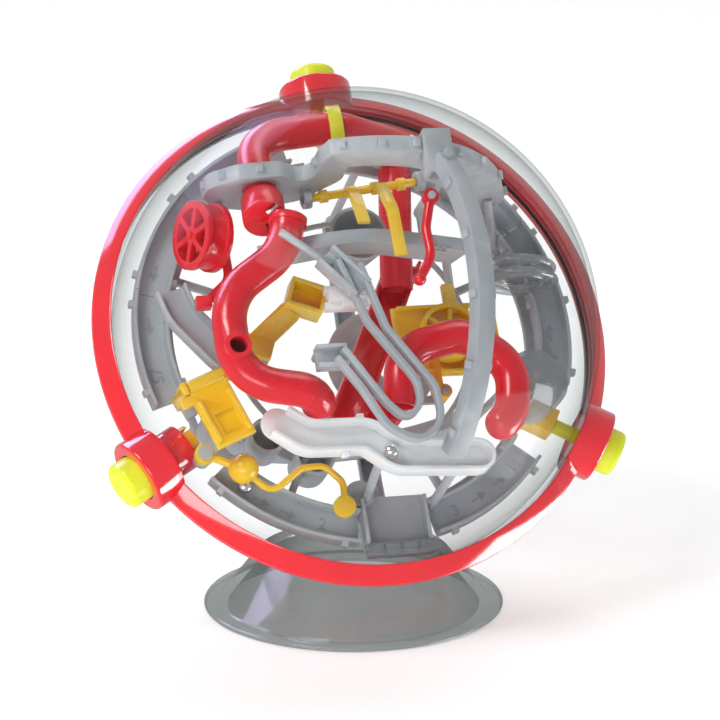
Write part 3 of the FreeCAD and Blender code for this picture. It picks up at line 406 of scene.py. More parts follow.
# ---- mesh shop -------------------------------------------------------------------
class MeshShop:
    """Makes and finishes mesh pieces."""

    def piece(self, name: str, verts: Iterable[Sequence[float]], faces: Iterable[Sequence[int]],
              in_globe: bool = True) -> Piece:
        """A mesh piece from points in millimetres.

        Args:
            name: the piece's name.
            verts: points in millimetres.
            faces: loops of point numbers.
            in_globe: True where the points are in the globe's own frame.

        Returns:
            The new object, at the origin.
        """
        mesh = bpy.data.meshes.new(name)
        mesh.from_pydata([Vector(v) * MM for v in verts], [], [list(f) for f in faces])
        if in_globe:
            GLOBE.place(mesh)
        piece = bpy.data.objects.new(name, mesh)
        bpy.context.scene.collection.objects.link(piece)
        return piece

    def lathe(self, name: str, outline: Sequence[tuple[float, float]], steps: int, turn: Matrix | None = None,
              in_globe: bool = True) -> Piece:
        """A closed outline of (radius, height) turned about Z.

        Args:
            name: the piece's name.
            outline: corners in millimetres, counter-clockwise with the radius to the right.
            steps: how many steps make the full turn.
            turn: where the turned shape is carried, in millimetres.
            in_globe: True where the result is in the globe's own frame.

        Returns:
            The new piece.
        """
        verts: list[Vector] = []
        count = len(outline)
        for k in range(steps):
            a = 2 * math.pi * k / steps
            for r, h in outline:
                verts.append(Vector((r * math.cos(a), r * math.sin(a), h)))
        if turn is not None:
            verts = [turn @ v for v in verts]
        faces = []
        for k in range(steps):
            here, ahead = k * count, ((k + 1) % steps) * count
            for i in range(count):
                j = (i + 1) % count
                faces.append((here + i, ahead + i, ahead + j, here + j))
        piece = self.piece(name, verts, faces, in_globe)
        return self.tidy(piece)

    def tidy(self, piece: Piece) -> Piece:
        """Merges doubles and turns the faces outwards."""
        work = bmesh.new()
        work.from_mesh(piece.data)
        bmesh.ops.remove_doubles(work, verts=work.verts, dist=2e-6)
        bmesh.ops.dissolve_degenerate(work, edges=work.edges, dist=1e-7)
        bmesh.ops.recalc_face_normals(work, faces=work.faces)
        work.to_mesh(piece.data)
        work.free()
        return piece

    def smooth(self, piece: Piece, crease: float = 35.0) -> Piece:
        """Shades smooth, with creases sharper than the given angle kept."""
        piece.data.shade_smooth()
        piece.data.set_sharp_from_angle(angle=math.radians(crease))
        return piece

    def applied(self, piece: Piece) -> Piece:
        """Turns the piece with its modifiers into a plain mesh."""
        graph = bpy.context.evaluated_depsgraph_get()
        mesh = bpy.data.meshes.new_from_object(piece.evaluated_get(graph),
                                               preserve_all_data_layers=True, depsgraph=graph)
        piece.modifiers.clear()
        piece.data = mesh
        return piece

    def softened(self, piece: Piece, radius: float, segments: int = 2,
                 angle: float = 32.0) -> Piece:
        """Rounds the sharp edges.

        Args:
            piece: a merged mesh piece.
            radius: the rounding in millimetres.
            segments: facets round each edge.
            angle: edges sharper than this are rounded, in degrees.

        Returns:
            The same piece.
        """
        bevel = piece.modifiers.new("edge", "BEVEL")
        bevel.width = radius * MM
        bevel.segments = segments
        bevel.limit_method = "ANGLE"
        bevel.angle_limit = math.radians(angle)
        bevel.use_clamp_overlap = True
        bevel.miter_outer = "MITER_ARC"
        return self.smooth(self.applied(piece), 40.0)

    def moulded(self, node: str, radius: float = 0.3, segments: int = 2) -> Piece:
        """A softened copy of a CAD node: doubles merged, flats made whole, edges rounded.

        Args:
            node: the CAD node's name.
            radius: the rounding in millimetres.
            segments: facets round each edge.

        Returns:
            The new piece, not yet dressed.
        """
        mesh = frame["nodes"][node].data.copy()
        piece = bpy.data.objects.new(node + "_moulding", mesh)
        bpy.context.scene.collection.objects.link(piece)
        mesh.materials.clear()
        work = bmesh.new()
        work.from_mesh(mesh)
        bmesh.ops.remove_doubles(work, verts=work.verts, dist=5e-6)
        bmesh.ops.dissolve_limit(work, angle_limit=math.radians(0.6), verts=work.verts, edges=work.edges)
        work.to_mesh(mesh)
        work.free()
        return self.softened(piece, radius, segments)

    def dress(self, piece: Piece, finish: Finish, body: str, *nodes: str) -> Piece:
        """Gives the piece its finish and its body, and hides the CAD nodes it replaces.

        Args:
            piece: a finished mesh piece.
            finish: the surface.
            body: the body it rides on.
            nodes: CAD nodes it replaces.

        Returns:
            The same piece.
        """
        piece.data.materials.clear()
        piece.data.materials.append(finish.material())
        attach(piece, body)
        if nodes:
            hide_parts(*nodes)
        LOG.info("%s rides on %s, %d faces", piece.name, body, len(piece.data.polygons))
        return piece

    def join(self, name: str, pieces: Sequence[Piece]) -> Piece:
        """Joins several pieces into the first and renames it."""
        work = bmesh.new()
        for piece in pieces:
            work.from_mesh(piece.data)
        mesh = bpy.data.meshes.new(name)
        work.to_mesh(mesh)
        work.free()
        for piece in pieces:
            bpy.data.objects.remove(piece)
        joined = bpy.data.objects.new(name, mesh)
        bpy.context.scene.collection.objects.link(joined)
        return joined


SHOP = MeshShop()


def arc_points(cx: float, cy: float, radius: float, start: float, end: float,
               steps: int) -> list[Span]:
    """Points along an arc, angles in degrees."""
    angles = [math.radians(start + (end - start) * i / steps) for i in range(steps + 1)]
    return [(cx + radius * math.cos(a), cy + radius * math.sin(a)) for a in angles]


# ---- geometry node shop ------------------------------------------------------------
class GeometryTree(Desk):
    """A geometry node tree with named size inputs."""

    def __init__(self, name: str, **sizes: float) -> None:
        """Makes the tree, its ports and its size inputs."""
        tree = bpy.data.node_groups.new(name, "GeometryNodeTree")
        super().__init__(tree)
        self.sizes = sizes
        tree.interface.new_socket("Geometry", in_out="INPUT", socket_type="NodeSocketGeometry")
        for key, value in sizes.items():
            kind = "NodeSocketInt" if isinstance(value, int) else "NodeSocketFloat"
            port = tree.interface.new_socket(key, in_out="INPUT", socket_type=kind)
            port.default_value = value
        tree.interface.new_socket("Geometry", in_out="OUTPUT", socket_type="NodeSocketGeometry")
        self.source = self.add("NodeGroupInput")
        self.sink = self.add("NodeGroupOutput")

    def size(self, key: str) -> Socket:
        """The named size input."""
        return self.source.outputs[key]

    def vector(self, x: object = 0.0, y: object = 0.0, z: object = 0.0) -> Socket:
        """A vector from three numbers or sockets."""
        node = self.add("ShaderNodeCombineXYZ")
        for socket, value in zip(node.inputs, (x, y, z)):
            self.into(socket, value)
        return node.outputs[0]

    def moved(self, shape: Socket, shift: object = (0, 0, 0),
              turn: object = (0, 0, 0)) -> Socket:
        """A shifted and turned shape."""
        node = self.add("GeometryNodeTransform")
        self.feed(node, Geometry=shape, Translation=shift, Rotation=turn)
        return node.outputs[0]

    def merged(self, *shapes: Socket) -> Socket:
        """Shapes side by side in one geometry."""
        node = self.add("GeometryNodeJoinGeometry")
        for shape in shapes:
            self.tree.links.new(shape, node.inputs[0])
        return node.outputs[0]

    def finish(self, shape: Socket, material: bpy.types.Material) -> None:
        """Realizes the instances, sets the material and closes the tree."""
        real = self.add("GeometryNodeRealizeInstances")
        self.feed(real, Geometry=shape)
        paint = self.add("GeometryNodeSetMaterial")
        self.feed(paint, Geometry=real.outputs[0], Material=material)
        self.tree.links.new(paint.outputs[0], self.sink.inputs[0])

    def make(self, name: str, place: Matrix | None = None, **values: float) -> Piece:
        """Runs the tree and returns its result as a plain mesh piece.

        Args:
            name: the piece's name.
            place: where the result is carried, in metres.
            values: sizes that differ from the tree's own.

        Returns:
            The new piece, with no modifier left.
        """
        seed = bpy.data.objects.new(name, bpy.data.meshes.new(name))
        bpy.context.scene.collection.objects.link(seed)
        modifier = seed.modifiers.new("shape", "NODES")
        modifier.node_group = self.tree
        ports = self.tree.interface.items_tree
        ids = {port.name: port.identifier for port in ports if port.in_out == "INPUT"}
        for key, value in values.items():
            modifier[ids[key]] = value
        piece = SHOP.applied(seed)
        if place is not None:
            piece.data.transform(place)
        return SHOP.smooth(piece, 40.0)


# ---- stand -------------------------------------------------------------------------
@dataclass
class Stand:
    """Smoky cone with a flat foot band and a rolled seat."""

    band: float = 7.6
    thickness: float = 2.4
    wall: float = 2.1
    seat_radius: float = 38.3
    seat_gap: float = 0.35
    globe_radius: float = 100.0

    def under_globe(self, reach: float, gap: float = 0.0) -> float:
        """The height below the globe at this distance from its axis, less a gap."""
        return GLOBE.centre.z / MM - math.sqrt((self.globe_radius + gap) ** 2 - reach ** 2)

    def outline(self) -> list[Span]:
        """The section, from the foot's inner corner round to the cone's inner face."""
        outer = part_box("display_stand")[1].x / MM
        seat = self.under_globe(self.seat_radius)
        root = outer - self.band
        rim = arc_points(outer - 1.0, 1.1, 1.0, -50, 80, 6)
        foot = [(root - self.wall - 0.1, 0.0), (outer - 1.2, 0.0)]
        blend = arc_points(root + 2.2, self.thickness + 2.6, 2.6, -90, -135, 5)
        lip = [(self.seat_radius + 1.7, seat - 0.4), (self.seat_radius + 1.1, seat - 0.05),
               (self.seat_radius + 0.2, seat - 0.32)]
        bed = [(self.seat_radius - inset, self.under_globe(self.seat_radius - inset, self.seat_gap))
               for inset in (0.8, 1.8, 2.6)]
        under = [(self.seat_radius - 2.6, seat - 2.4), (self.seat_radius - 1.9, seat - 3.1),
                 (self.seat_radius - 0.8, seat - 3.2)]
        return foot + rim + blend + lip + bed + under

    def build(self) -> None:
        """Turns the section into the stand."""
        stand = SHOP.lathe("stand_shell", self.outline(), 192, in_globe=False)
        SHOP.dress(SHOP.smooth(stand, 50.0), SMOKE, "stand", "display_stand")


# ---- domes -------------------------------------------------------------------------
def arm_cutter(radius: float, low: float, high: float) -> Piece:
    """Three round cutters, one along each button's direction.

    Args:
        radius: the cutters' radius in millimetres.
        low: their inner end's distance from the globe's centre.
        high: their outer end's distance.

    Returns:
        One object with the three cutters.
    """
    outline = [(0.0, low), (radius, low), (radius, high), (0.0, high)]
    pieces = [SHOP.lathe("cutter_" + spot.word, outline, 64, GLOBE.stem(spot.value)) for spot in ButtonSpot]
    return SHOP.join("arm_cutters", pieces)


def bored(piece: Piece, cutter: Piece) -> Piece:
    """Takes the cutter away from the piece."""
    cut = piece.modifiers.new("bore", "BOOLEAN")
    cut.operation = "DIFFERENCE"
    cut.solver = "EXACT"
    cut.object = cutter
    return SHOP.applied(piece)


@dataclass
class Domes:
    """The two clear half globes."""

    radius: float = 100.0
    wall: float = 1.8
    seam: float = 0.1
    bore: float = 9.9
    steps_round: int = 176
    steps_up: int = 60

    def shell(self, side: Side) -> Piece:
        """One hollow half globe with a flat rim."""
        inside = self.radius - self.wall
        outer_start = math.degrees(math.asin(self.seam / self.radius))
        inner_end = math.degrees(math.asin(self.seam / inside))
        outer = arc_points(0, 0, self.radius, outer_start, 90, self.steps_up)
        inner = arc_points(0, 0, inside, 90, inner_end, self.steps_up)
        outer[-1] = (0.0, self.radius)
        inner[0] = (0.0, inside)
        outline = [(r, h * side.value) for r, h in outer + inner]
        return SHOP.lathe(f"{side.name.lower()}_dome_shell", outline, self.steps_round)

    def build(self) -> None:
        """Makes both domes and opens them for the button stems."""
        cutter = arm_cutter(self.bore, 80, 130)
        for side in Side:
            dome = bored(self.shell(side), cutter)
            SHOP.dress(SHOP.smooth(dome, 50.0), DOME, "globe", f"{side.name.lower()}_dome")
        bpy.data.objects.remove(cutter)


# ---- equator ring --------------------------------------------------------------------
@dataclass
class EquatorRing:
    """The red ring: two swept halves, three housings and six screws."""

    bore: float = 100.15
    outer: float = 107.0
    edge: float = 1.2
    height: float = 7.2
    seam: float = 0.1
    boss_radius: float = 15.0
    boss_face: float = 111.4
    boss_bore: float = 9.9
    boss_shelf: float = 101.6
    stem_hole: float = 3.3
    sleeve: tuple[float, float] = (7.6, 9.6)
    sleeve_end: float = 88.5
    dome_radius: float = 100.05
    screw_circle: float = 103.6
    screws: int = 6

    def half_tree(self) -> GeometryTree:
        """A circle swept by a rounded wedge section."""
        tree = GeometryTree("ring_half_sweep", bore=self.bore * MM, outer=self.outer * MM,
                            edge=self.edge * MM, height=self.height * MM, seam=self.seam * MM,
                            round=0.45 * MM)
        profile = tree.add("GeometryNodeCurvePrimitiveQuadrilateral", mode="POINTS")
        middle = tree.math("MULTIPLY", tree.math("ADD", tree.size("bore"), tree.size("outer")), 0.5)
        corners = (("bore", "seam"), ("outer", "seam"), ("outer", "edge"), ("bore", "height"))
        for number, (reach, level) in enumerate(corners):
            across = tree.math("SUBTRACT", tree.size(reach), middle)
            tree.into(profile.inputs[f"Point {number + 1}"], tree.vector(across, tree.size(level)))
        rounded = tree.add("GeometryNodeFilletCurve", mode="POLY")
        tree.feed(rounded, Curve=profile.outputs[0], Radius=tree.size("round"), Count=4)
        rail = tree.add("GeometryNodeCurvePrimitiveCircle", mode="RADIUS")
        tree.feed(rail, Resolution=256, Radius=middle)
        swept = tree.add("GeometryNodeCurveToMesh")
        tree.feed(swept, Curve=rail.outputs[0], Profile_Curve=rounded.outputs[0])
        tree.finish(swept.outputs[0], RED.material())
        return tree

    def boss(self, spot: ButtonSpot) -> Piece:
        """A round housing turned about its own axis, its foot fitted to the dome."""
        def foot(r: float) -> float:
            return math.sqrt(self.dome_radius ** 2 - r ** 2)

        face = self.boss_face
        wall = [(r, foot(r)) for r in (self.stem_hole, 6.0, self.sleeve[0])]
        if spot is ButtonSpot.LEFT:
            wall += [(r, self.sleeve_end) for r in self.sleeve]
        wall += [(r, foot(r)) for r in (self.sleeve[1], 12.0, 14.0, 14.7)]
        rim = [(self.boss_radius, foot(self.boss_radius) + 0.3)]
        rim += arc_points(self.boss_radius - 1.1, face - 1.1, 1.1, 0, 90, 5)
        mouth = arc_points(self.boss_bore + 0.5, face - 0.5, 0.5, 90, 180, 3)
        pocket = [(self.boss_bore, self.boss_shelf), (self.stem_hole, self.boss_shelf)]
        outline = wall + rim + mouth + pocket
        turned = SHOP.lathe(f"{spot.word}_housing", outline, 96, GLOBE.stem(spot.value))
        return SHOP.smooth(turned, 38.0)

    def screw_tree(self) -> GeometryTree:
        """Cross-recess screw heads round a circle."""
        tree = GeometryTree("ring_screw_circle", circle=self.screw_circle * MM, count=self.screws,
                            head=1.5 * MM, depth=1.1 * MM, level=-5.6 * MM)
        head = tree.add("GeometryNodeMeshCylinder")
        tree.feed(head, Vertices=20, Radius=tree.size("head"), Depth=tree.size("depth"))
        bars = []
        for turn in (0.0, math.pi / 2):
            bar = tree.add("GeometryNodeMeshCube")
            reach = tree.math("MULTIPLY", tree.size("head"), 1.4)
            tree.into(bar.inputs["Size"], tree.vector(reach, 0.35 * MM, 0.5 * MM))
            down = tree.vector(0.0, 0.0, tree.math("MULTIPLY", tree.size("depth"), -0.5))
            bars.append(tree.moved(bar.outputs[0], down, (0.0, 0.0, turn)))
        cut = tree.add("GeometryNodeMeshBoolean", operation="DIFFERENCE", solver="EXACT")
        tree.tree.links.new(head.outputs[0], cut.inputs[0])
        for bar in bars:
            tree.tree.links.new(bar, cut.inputs[1])
        rail = tree.add("GeometryNodeMeshCircle")
        tree.feed(rail, Vertices=tree.size("count"), Radius=tree.size("circle"))
        spots = tree.add("GeometryNodeInstanceOnPoints")
        tree.feed(spots, Points=rail.outputs[0], Instance=cut.outputs[0])
        ring = tree.moved(spots.outputs[0], tree.vector(0.0, 0.0, tree.size("level")))
        tree.finish(ring, STEEL.material())
        return tree

    def build(self) -> None:
        """Sweeps the halves, fits the housings and sets the screws."""
        tree = self.half_tree()
        cutter = arm_cutter(self.boss_radius + 0.02, 60, 130)
        for side in Side:
            flip = Matrix.Diagonal((1, 1, side.value, 1))
            half = tree.make(f"ring_{side.name.lower()}_sweep", GLOBE.matrix @ flip)
            half = bored(SHOP.tidy(half), cutter)
            SHOP.dress(SHOP.smooth(half, 30.0), RED, "globe", f"ring_{side.name.lower()}_half")
        bpy.data.objects.remove(cutter)
        for spot in ButtonSpot:
            SHOP.dress(self.boss(spot), RED, "globe", "button_boss_" + spot.word)
        screws = self.screw_tree().make("ring_screw_heads", GLOBE.matrix)
        SHOP.dress(SHOP.tidy(screws), STEEL, "globe", "ring_screws")


# ---- push buttons ----------------------------------------------------------------------
@dataclass
class PushButtons:
    """Three lime caps on stems, their return springs and their inner plungers."""

    radius: float = 9.5
    face: float = 119.2
    skirt: float = 107.6
    stem: float = 3.0
    stem_end: float = 90.0
    dish: float = 0.35
    rounding: float = 2.2
    shelf: float = 101.6
    coil_radius: float = 6.0
    wire: float = 0.55
    turns: float = 2.5

    def cap(self, spot: ButtonSpot) -> Piece:
        """A cap with a soft edge and a faintly dished face, and its stem."""
        outline = [(0.0, self.stem_end), (self.stem - 0.4, self.stem_end), (self.stem, self.stem_end + 0.4),
                   (self.stem, self.skirt), (self.radius - 0.3, self.skirt), (self.radius, self.skirt + 0.3)]
        outline += arc_points(self.radius - self.rounding, self.face - self.rounding, self.rounding, 0, 90, 8)
        outline += [(self.radius * 0.55, self.face - self.dish * 0.5),
                    (self.radius * 0.3, self.face - self.dish * 0.9), (0.0, self.face - self.dish)]
        cap = SHOP.lathe(f"{spot.word}_button_cap", outline, 72, GLOBE.stem(spot.value))
        return SHOP.smooth(cap, 40.0)

    def spring_tree(self) -> GeometryTree:
        """A coil of wire about +Z."""
        tree = GeometryTree("return_spring_coil", turns=self.turns, radius=self.coil_radius * MM,
                            length=(self.skirt - self.shelf - 1.2) * MM, wire=self.wire * MM)
        coil = tree.add("GeometryNodeCurveSpiral")
        tree.feed(coil, Resolution=28, Rotations=tree.size("turns"), Start_Radius=tree.size("radius"),
                  End_Radius=tree.size("radius"), Height=tree.size("length"))
        section = tree.add("GeometryNodeCurvePrimitiveCircle", mode="RADIUS")
        tree.feed(section, Resolution=8, Radius=tree.size("wire"))
        wire = tree.add("GeometryNodeCurveToMesh")
        tree.feed(wire, Curve=coil.outputs[0], Profile_Curve=section.outputs[0], Fill_Caps=True)
        tree.finish(wire.outputs[0], WIRE.material())
        return tree

    def build(self) -> None:
        """Makes caps, springs and plungers for the three spots."""
        springs = self.spring_tree()
        finishes = {ButtonSpot.TOP: YELLOW, ButtonSpot.LEFT: ORANGE, ButtonSpot.RIGHT: YELLOW}
        for spot in ButtonSpot:
            body = "button_" + spot.word
            SHOP.dress(self.cap(spot), LIME, body, body)
            plunger = SHOP.moulded("plunger_" + spot.word, 0.35)
            SHOP.dress(plunger, finishes[spot], body, "plunger_" + spot.word)
            lift = Matrix.Translation(Vector((0, 0, (self.shelf + 0.6) * MM)))
            place = GLOBE.matrix @ GLOBE.stem(spot.value) @ lift
            spring = springs.make(spot.word + "_return_spring", place)
            SHOP.dress(spring, WIRE, "globe", "button_spring_" + spot.word)
            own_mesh(spring)


# ---- marks: arrows and digits ------------------------------------------------------------
@dataclass
class Marks:
    """Raised arrows and digits on the gray tracks."""

    depth: float = 0.25
    level: float = 0.5
    radius: float = 84.0

    def arrow_tree(self) -> GeometryTree:
        """Flat arrows set along an arc of the equator track."""
        tree = GeometryTree("track_arrow_row", radius=self.radius * MM, level=self.level * MM,
                            first=0.0, last=90.0, count=4, size=2.4 * MM, depth=self.depth * MM)
        head = tree.add("GeometryNodeMeshCylinder")
        tree.feed(head, Vertices=3, Radius=tree.size("size"), Depth=tree.size("depth"))
        tail = tree.add("GeometryNodeMeshCube")
        width, length, drop = (tree.math("MULTIPLY", tree.size("size"), share) for share in (0.45, 1.8, -1.2))
        tree.into(tail.inputs["Size"], tree.vector(width, length, tree.size("depth")))
        lowered = tree.moved(tail.outputs[0], tree.vector(0.0, drop, 0.0))
        arrow = tree.merged(tree.moved(head.outputs[0], (0, 0, 0), (0.0, 0.0, math.pi / 2)), lowered)
        line = tree.add("GeometryNodeMeshLine", mode="OFFSET")
        tree.feed(line, Count=tree.size("count"), Offset=(0.0, 0.0, 0.0))
        spots = tree.add("GeometryNodeInstanceOnPoints")
        step = tree.math("DIVIDE", tree.math("SUBTRACT", tree.size("last"), tree.size("first")),
                         tree.math("SUBTRACT", tree.size("count"), 1.0))
        index = tree.add("GeometryNodeInputIndex")
        angle = tree.math("RADIANS", tree.math("MULTIPLY_ADD", index.outputs[0], step, tree.size("first")))
        tree.feed(spots, Points=line.outputs[0], Instance=arrow, Rotation=tree.vector(0.0, 0.0, angle))
        shift = tree.add("GeometryNodeTranslateInstances")
        reach = tree.vector(tree.size("radius"), 0.0, tree.size("level"))
        tree.feed(shift, Instances=spots.outputs[0], Translation=reach, Local_Space=True)
        tree.finish(shift.outputs[0], GRAY_MARK.material())
        return tree

    def digits(self, name: str, words: str, height: float, place: Matrix) -> Piece:
        """Raised digits as a mesh.

        Args:
            name: the piece's name.
            words: the digits.
            height: their height in millimetres.
            place: where they stand, in the globe's frame and in millimetres.

        Returns:
            The new piece.
        """
        curve = bpy.data.curves.new(name, "FONT")
        curve.body = words
        curve.size = height * 1.35
        curve.extrude = self.depth
        curve.align_x = "CENTER"
        curve.align_y = "CENTER"
        curve.resolution_u = 3
        text = bpy.data.objects.new(name, curve)
        bpy.context.scene.collection.objects.link(text)
        graph = bpy.context.evaluated_depsgraph_get()
        mesh = bpy.data.meshes.new_from_object(text.evaluated_get(graph), depsgraph=graph)
        bpy.data.objects.remove(text)
        mesh.transform(place)
        mesh.transform(Matrix.Diagonal((MM, MM, MM, 1)))
        GLOBE.place(mesh)
        piece = bpy.data.objects.new(name, mesh)
        bpy.context.scene.collection.objects.link(piece)
        return piece

    def on_equator(self, angle: float, turn: float = -90.0) -> Matrix:
        """A spot on the equator track's floor, words turned across the track."""
        spin = Matrix.Rotation(math.radians(angle), 4, "Z")
        shift = Matrix.Translation(Vector((self.radius, 0, self.level + 0.1)))
        return spin @ shift @ Matrix.Rotation(math.radians(turn), 4, "Z")

    def build(self) -> None:
        """Sets arrow rows and digits on the tracks."""
        arrows = self.arrow_tree()
        spans = {"left": (112.0, 176.0, 5), "low_left": (236.0, 244.0, 2), "low_right": (300.0, 308.0, 2),
                 "right": (-2.0, 66.0, 5)}
        for word, (first, last, count) in spans.items():
            row = arrows.make("track_arrows_" + word, GLOBE.matrix, first=first, last=last, count=count)
            SHOP.dress(row, GRAY_MARK, "globe")
        spots = {"113": 315.0, "111": -12.5, "57": 189.5, "2": 252.5, "3": 291.0}
        for words, angle in spots.items():
            turn = 90.0 if 200 < angle % 360 < 320 else -90.0
            piece = self.digits("track_digits_" + words, words, 5.0, self.on_equator(angle, turn))
            SHOP.dress(piece, GRAY_MARK, "globe")
        band = Matrix(((-1, 0, 0, 27.8), (0, 0, -1, 17.9), (0, -1, 0, 43.0), (0, 0, 0, 1)))
        band = band @ Matrix.Rotation(math.radians(-20), 4, "Z")
        SHOP.dress(self.digits("band_digits_222", "222", 5.0, band), GRAY_MARK, "globe")


# ---- gray course ---------------------------------------------------------------------------
@dataclass
class GrayCourse:
    """The gray decks, beams, rails and frame."""

    softness: dict[str, float] = field(default_factory=lambda: {
        "core_frame": 0.4, "equator_track": 0.3, "start_plate": 0.3, "upper_track_left": 0.35,
        "upper_track_right": 0.35, "front_beam": 0.4, "middle_band": 0.35, "left_slide": 0.35,
        "hairpin_rails": 0.35, "rail_blocks": 0.4, "catch_cups": 0.3, "track_posts": 0.3, "pivot_pins": 0.3,
        "rear_hoop": 0.35, "rear_track": 0.35, "rear_bowl": 0.35})

    def build(self) -> None:
        """Softens every gray moulding and adds the marks."""
        for node, radius in self.softness.items():
            SHOP.dress(SHOP.moulded(node, radius), GRAY, "globe", node)
        Marks().build()


@dataclass
class RearStruts:
    """Round struts that tie the rear hoop, track and bowl to the core frame."""

    radius: float = 1.7
    foot: float = 2.8
    flare: float = 2.2
    runs: tuple[tuple[Sequence[float], Sequence[float]], ...] = (
        ((12.9, 71.0, -48.0), (14.0, 75.2, -3.5)),
        ((12.9, -71.0, -48.0), (14.0, -75.2, -3.5)),
        ((57.3, -27.0, -40.0), (74.8, -15.9, -3.5)),
        ((-63.4, -27.0, -29.6), (-73.9, -19.8, -3.5)),
        ((20.0, -27.0, -68.0), (21.2, -27.0, -79.2)),
        ((21.0, 4.0, -54.0), (22.3, 4.0, -83.4)))

    def strut(self, number: int) -> Piece:
        """One strut, flared into a foot at both ends."""
        start, end = (Vector(point) for point in self.runs[number])
        run = end - start
        far = run.length
        outline = [(0.0, 0.0), (self.foot, 0.0), (self.foot, 0.6), (self.radius, self.flare),
                   (self.radius, far - self.flare), (self.foot, far - 0.6), (self.foot, far), (0.0, far)]
        place = Matrix.Translation(start) @ run.to_track_quat("Z", "Y").to_matrix().to_4x4()
        return SHOP.lathe(f"strut_{number}", outline, 24, place)

    def build(self) -> None:
        """Makes the struts as one piece."""
        struts = SHOP.join("rear_struts", [self.strut(number) for number in range(len(self.runs))])
        SHOP.dress(SHOP.smooth(struts, 35.0), GRAY, "globe")


# ---- red course ----------------------------------------------------------------------------
@dataclass
class RedCourse:
    """The red tubes, ramp, wheel and lever."""

    fixed: dict[str, float] = field(default_factory=lambda: {
        "serpentine_tube": 0.35, "upper_tube": 0.3, "drop_tube": 0.3, "arc_tube": 0.3, "funnel": 0.35,
        "red_ramp": 0.35, "red_switch_block": 0.4, "wheel_bracket": 0.35})
    moving: tuple[str, ...] = ("drum_wheel", "red_lever")

    def build(self) -> None:
        """Softens every red moulding."""
        for node, radius in self.fixed.items():
            SHOP.dress(SHOP.moulded(node, radius), RED_INNER, "globe", node)
        for node in self.moving:
            SHOP.dress(SHOP.moulded(node, 0.35), RED_INNER, node, node)


# ---- yellow and orange course -----------------------------------------------------------------
@dataclass
class AmberCourse:
    """The yellow and orange gates, levers, cam and crank."""

    fixed: tuple[str, ...] = ("gate_frame", "cam_plate", "connector_box")
    moving: tuple[str, ...] = ("ball_lever", "swing_gate", "claw_crank", "cam_drum")

    def build(self) -> None:
        """Softens every amber moulding."""
        for node in self.fixed:
            SHOP.dress(SHOP.moulded(node, 0.35), YELLOW, "globe", node)
        for node in self.moving:
            SHOP.dress(SHOP.moulded(node, 0.4), YELLOW, node, node)
        SHOP.dress(SHOP.moulded("orange_flap", 0.4), ORANGE, "orange_flap", "orange_flap")
        SHOP.dress(SHOP.moulded("tube_yoke", 0.4), YOKE, "globe", "tube_yoke")


# ---- white and clear pieces -----------------------------------------------------------------------
@dataclass
class WhiteCourse:
    """The milky trough and its stepped block."""

    nodes: tuple[str, ...] = ("white_trough", "white_cluster")

    def build(self) -> None:
        """Softens the white mouldings."""
        for node in self.nodes:
            SHOP.dress(SHOP.moulded(node, 0.45, 3), WHITE, "globe", node)


@dataclass
class ClearTrim:
    """The clear clip, coil and hood."""

    nodes: tuple[str, ...] = ("start_clip", "clear_coil", "right_hood")

    def build(self) -> None:
        """Softens the clear mouldings."""
        for node in self.nodes:
            SHOP.dress(SHOP.moulded(node, 0.25), TRIM, "globe", node)


# ---- steel balls ----------------------------------------------------------------------------------
@dataclass
class SteelBalls:
    """The two steel balls."""

    nodes: tuple[str, ...] = ("steel_ball_trough", "steel_ball_track")
    rings: int = 32

    def build(self) -> None:
        """Turns each ball from a half circle, at the place of its CAD node."""
        for node in self.nodes:
            low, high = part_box(node)
            middle, radius = (low + high) / 2, (high.x - low.x) / 2 / MM
            outline = arc_points(0, 0, radius, -90, 90, self.rings)
            outline[0], outline[-1] = (0.0, -radius), (0.0, radius)
            place = Matrix.Translation(middle / MM)
            ball = SHOP.lathe(node + "_sphere", outline, 48, place, in_globe=False)
            SHOP.dress(SHOP.smooth(ball, 80.0), STEEL, node, node)


# ---- studio -----------------------------------------------------------------------------------------
@dataclass(frozen=True)
class Softbox:
    """A rectangular lamp aimed at the globe; a card shows in glossy surfaces only."""

    name: str
    place: tuple[float, float, float]
    size: Span
    power: float
    colour: Colour = (1.0, 1.0, 1.0)
    card: bool = False

    def build(self) -> None:
        """Sets the lamp up, in metres and watts."""
        light = bpy.data.lights.new(self.name, "AREA")
        light.shape = "RECTANGLE"
        light.size, light.size_y = self.size
        light.energy = self.power
        light.color = self.colour
        holder = bpy.data.objects.new(self.name, light)
        bpy.context.scene.collection.objects.link(holder)
        holder.location = Vector(self.place)
        holder.visible_diffuse = not self.card
        holder.visible_camera = False
        aim = Vector((0, 0, 0.1)) - holder.location
        holder.rotation_euler = aim.to_track_quat("-Z", "Y").to_euler()


SOFTBOXES = (
    Softbox("key_softbox", (-0.75, -0.75, 1.25), (0.5, 0.5), 11.0),
    Softbox("front_softbox", (-0.35, -1.5, 0.12), (1.0, 0.4), 7.5),
    Softbox("top_softbox", (0.4, 0.5, 1.5), (1.0, 0.7), 5.0),
    Softbox("rear_left_card", (-0.56, 0.56, 0.74), (0.95, 0.45), 10.0, (0.70, 0.60, 1.0), card=True),
    Softbox("low_right_card", (0.95, -0.12, -0.5), (0.8, 0.6), 18.0, card=True),
)


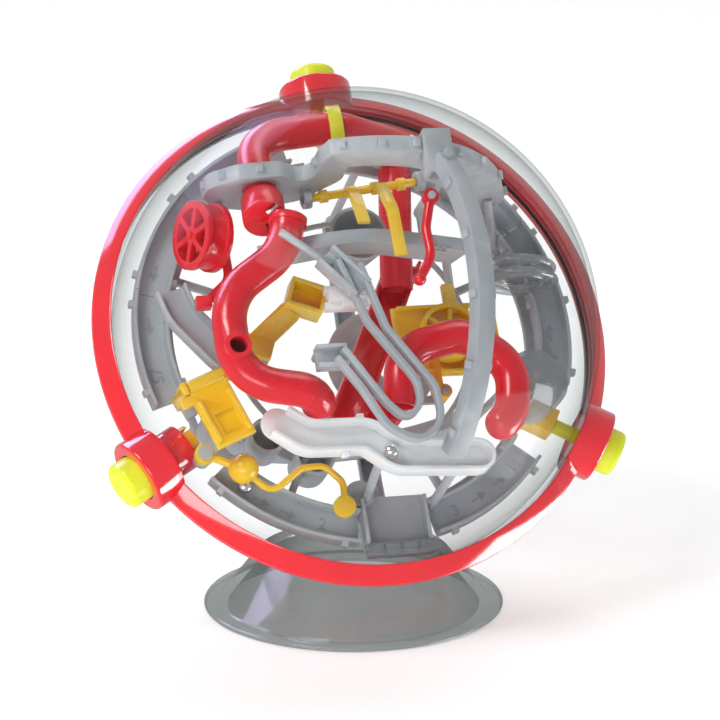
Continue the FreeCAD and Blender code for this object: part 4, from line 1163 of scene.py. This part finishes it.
@dataclass
class Studio:
    """Camera, paper floor and soft lights."""

    distance: float = 1144.8
    elevation: float = 13.92
    lens: float = 140.9
    aim: tuple[float, float] = (2.71, -11.1)
    floor_reach: float = 4000.0
    curve_start: float = 900.0
    curve_radius: float = 700.0
    backdrop_top: float = 3000.0

    def camera(self) -> None:
        """Sets the camera in front of the globe."""
        lens = bpy.data.cameras.new("view")
        lens.lens = self.lens
        lens.sensor_width = 36.0
        lens.clip_start = 0.05
        lens.clip_end = 20.0
        holder = bpy.data.objects.new("view", lens)
        bpy.context.scene.collection.objects.link(holder)
        tip = math.radians(self.elevation)
        centre = Vector((0, 0, GLOBE.centre.z))
        holder.location = centre + Vector((0, -math.cos(tip), math.sin(tip))) * self.distance * MM
        target = centre + Vector((self.aim[0], 0, self.aim[1])) * MM
        holder.rotation_euler = (target - holder.location).to_track_quat("-Z", "Y").to_euler()
        bpy.context.scene.camera = holder

    def floor(self) -> None:
        """A wide sheet of white paper that rises into a backdrop behind the object."""
        half = self.floor_reach
        start, bend = self.curve_start, self.curve_radius
        turns = [math.radians(degrees) for degrees in range(10, 91, 10)]
        rows = [(-half, 0.0), (start, 0.0)]
        rows += [(start + bend * math.sin(turn), bend - bend * math.cos(turn)) for turn in turns]
        rows.append((start + bend, self.backdrop_top))
        verts, faces = [], []
        for y, z in rows:
            verts += [(-half, y, z), (half, y, z)]
        for i in range(len(rows) - 1):
            faces.append((2 * i, 2 * i + 1, 2 * i + 3, 2 * i + 2))
        sheet = SHOP.smooth(SHOP.piece("paper_sweep", verts, faces, in_globe=False), 60.0)
        sheet.data.materials.append(PAPER.material())
        sheet.visible_glossy = False

    def world(self) -> None:
        """A pale surround, brighter to the camera and to mirror rays than to diffuse light."""
        world = bpy.data.worlds.new("surround")
        bpy.context.scene.world = world
        world.use_nodes = True
        desk = Desk(world.node_tree)
        path = desk.add("ShaderNodeLightPath")
        bounced = desk.ramp(path.outputs["Is Glossy Ray"], 0.0, 1.0, 0.13, 0.55)
        back = desk.add("ShaderNodeBackground")
        strength = desk.math("MAXIMUM", bounced, path.outputs["Is Camera Ray"])
        desk.feed(back, Color=(0.97, 0.985, 1.0, 1.0), Strength=strength)
        desk.feed(desk.add("ShaderNodeOutputWorld"), Surface=back.outputs[0])

    def build(self) -> None:
        """Sets up the studio."""
        bpy.context.scene.view_settings.view_transform = "Standard"
        self.camera()
        self.floor()
        self.world()
        for softbox in SOFTBOXES:
            softbox.build()


def main() -> None:
    """Builds every sub-assembly in order."""
    logging.basicConfig(level=logging.INFO, format="%(message)s")
    makers = (Stand(), Domes(), EquatorRing(), PushButtons(), GrayCourse(), RearStruts(), RedCourse(),
              AmberCourse(), WhiteCourse(), ClearTrim(), SteelBalls(), Studio())
    for maker in makers:
        maker.build()
        LOG.info("%s done", type(maker).__name__)


if __name__ == "__main__":
    main()
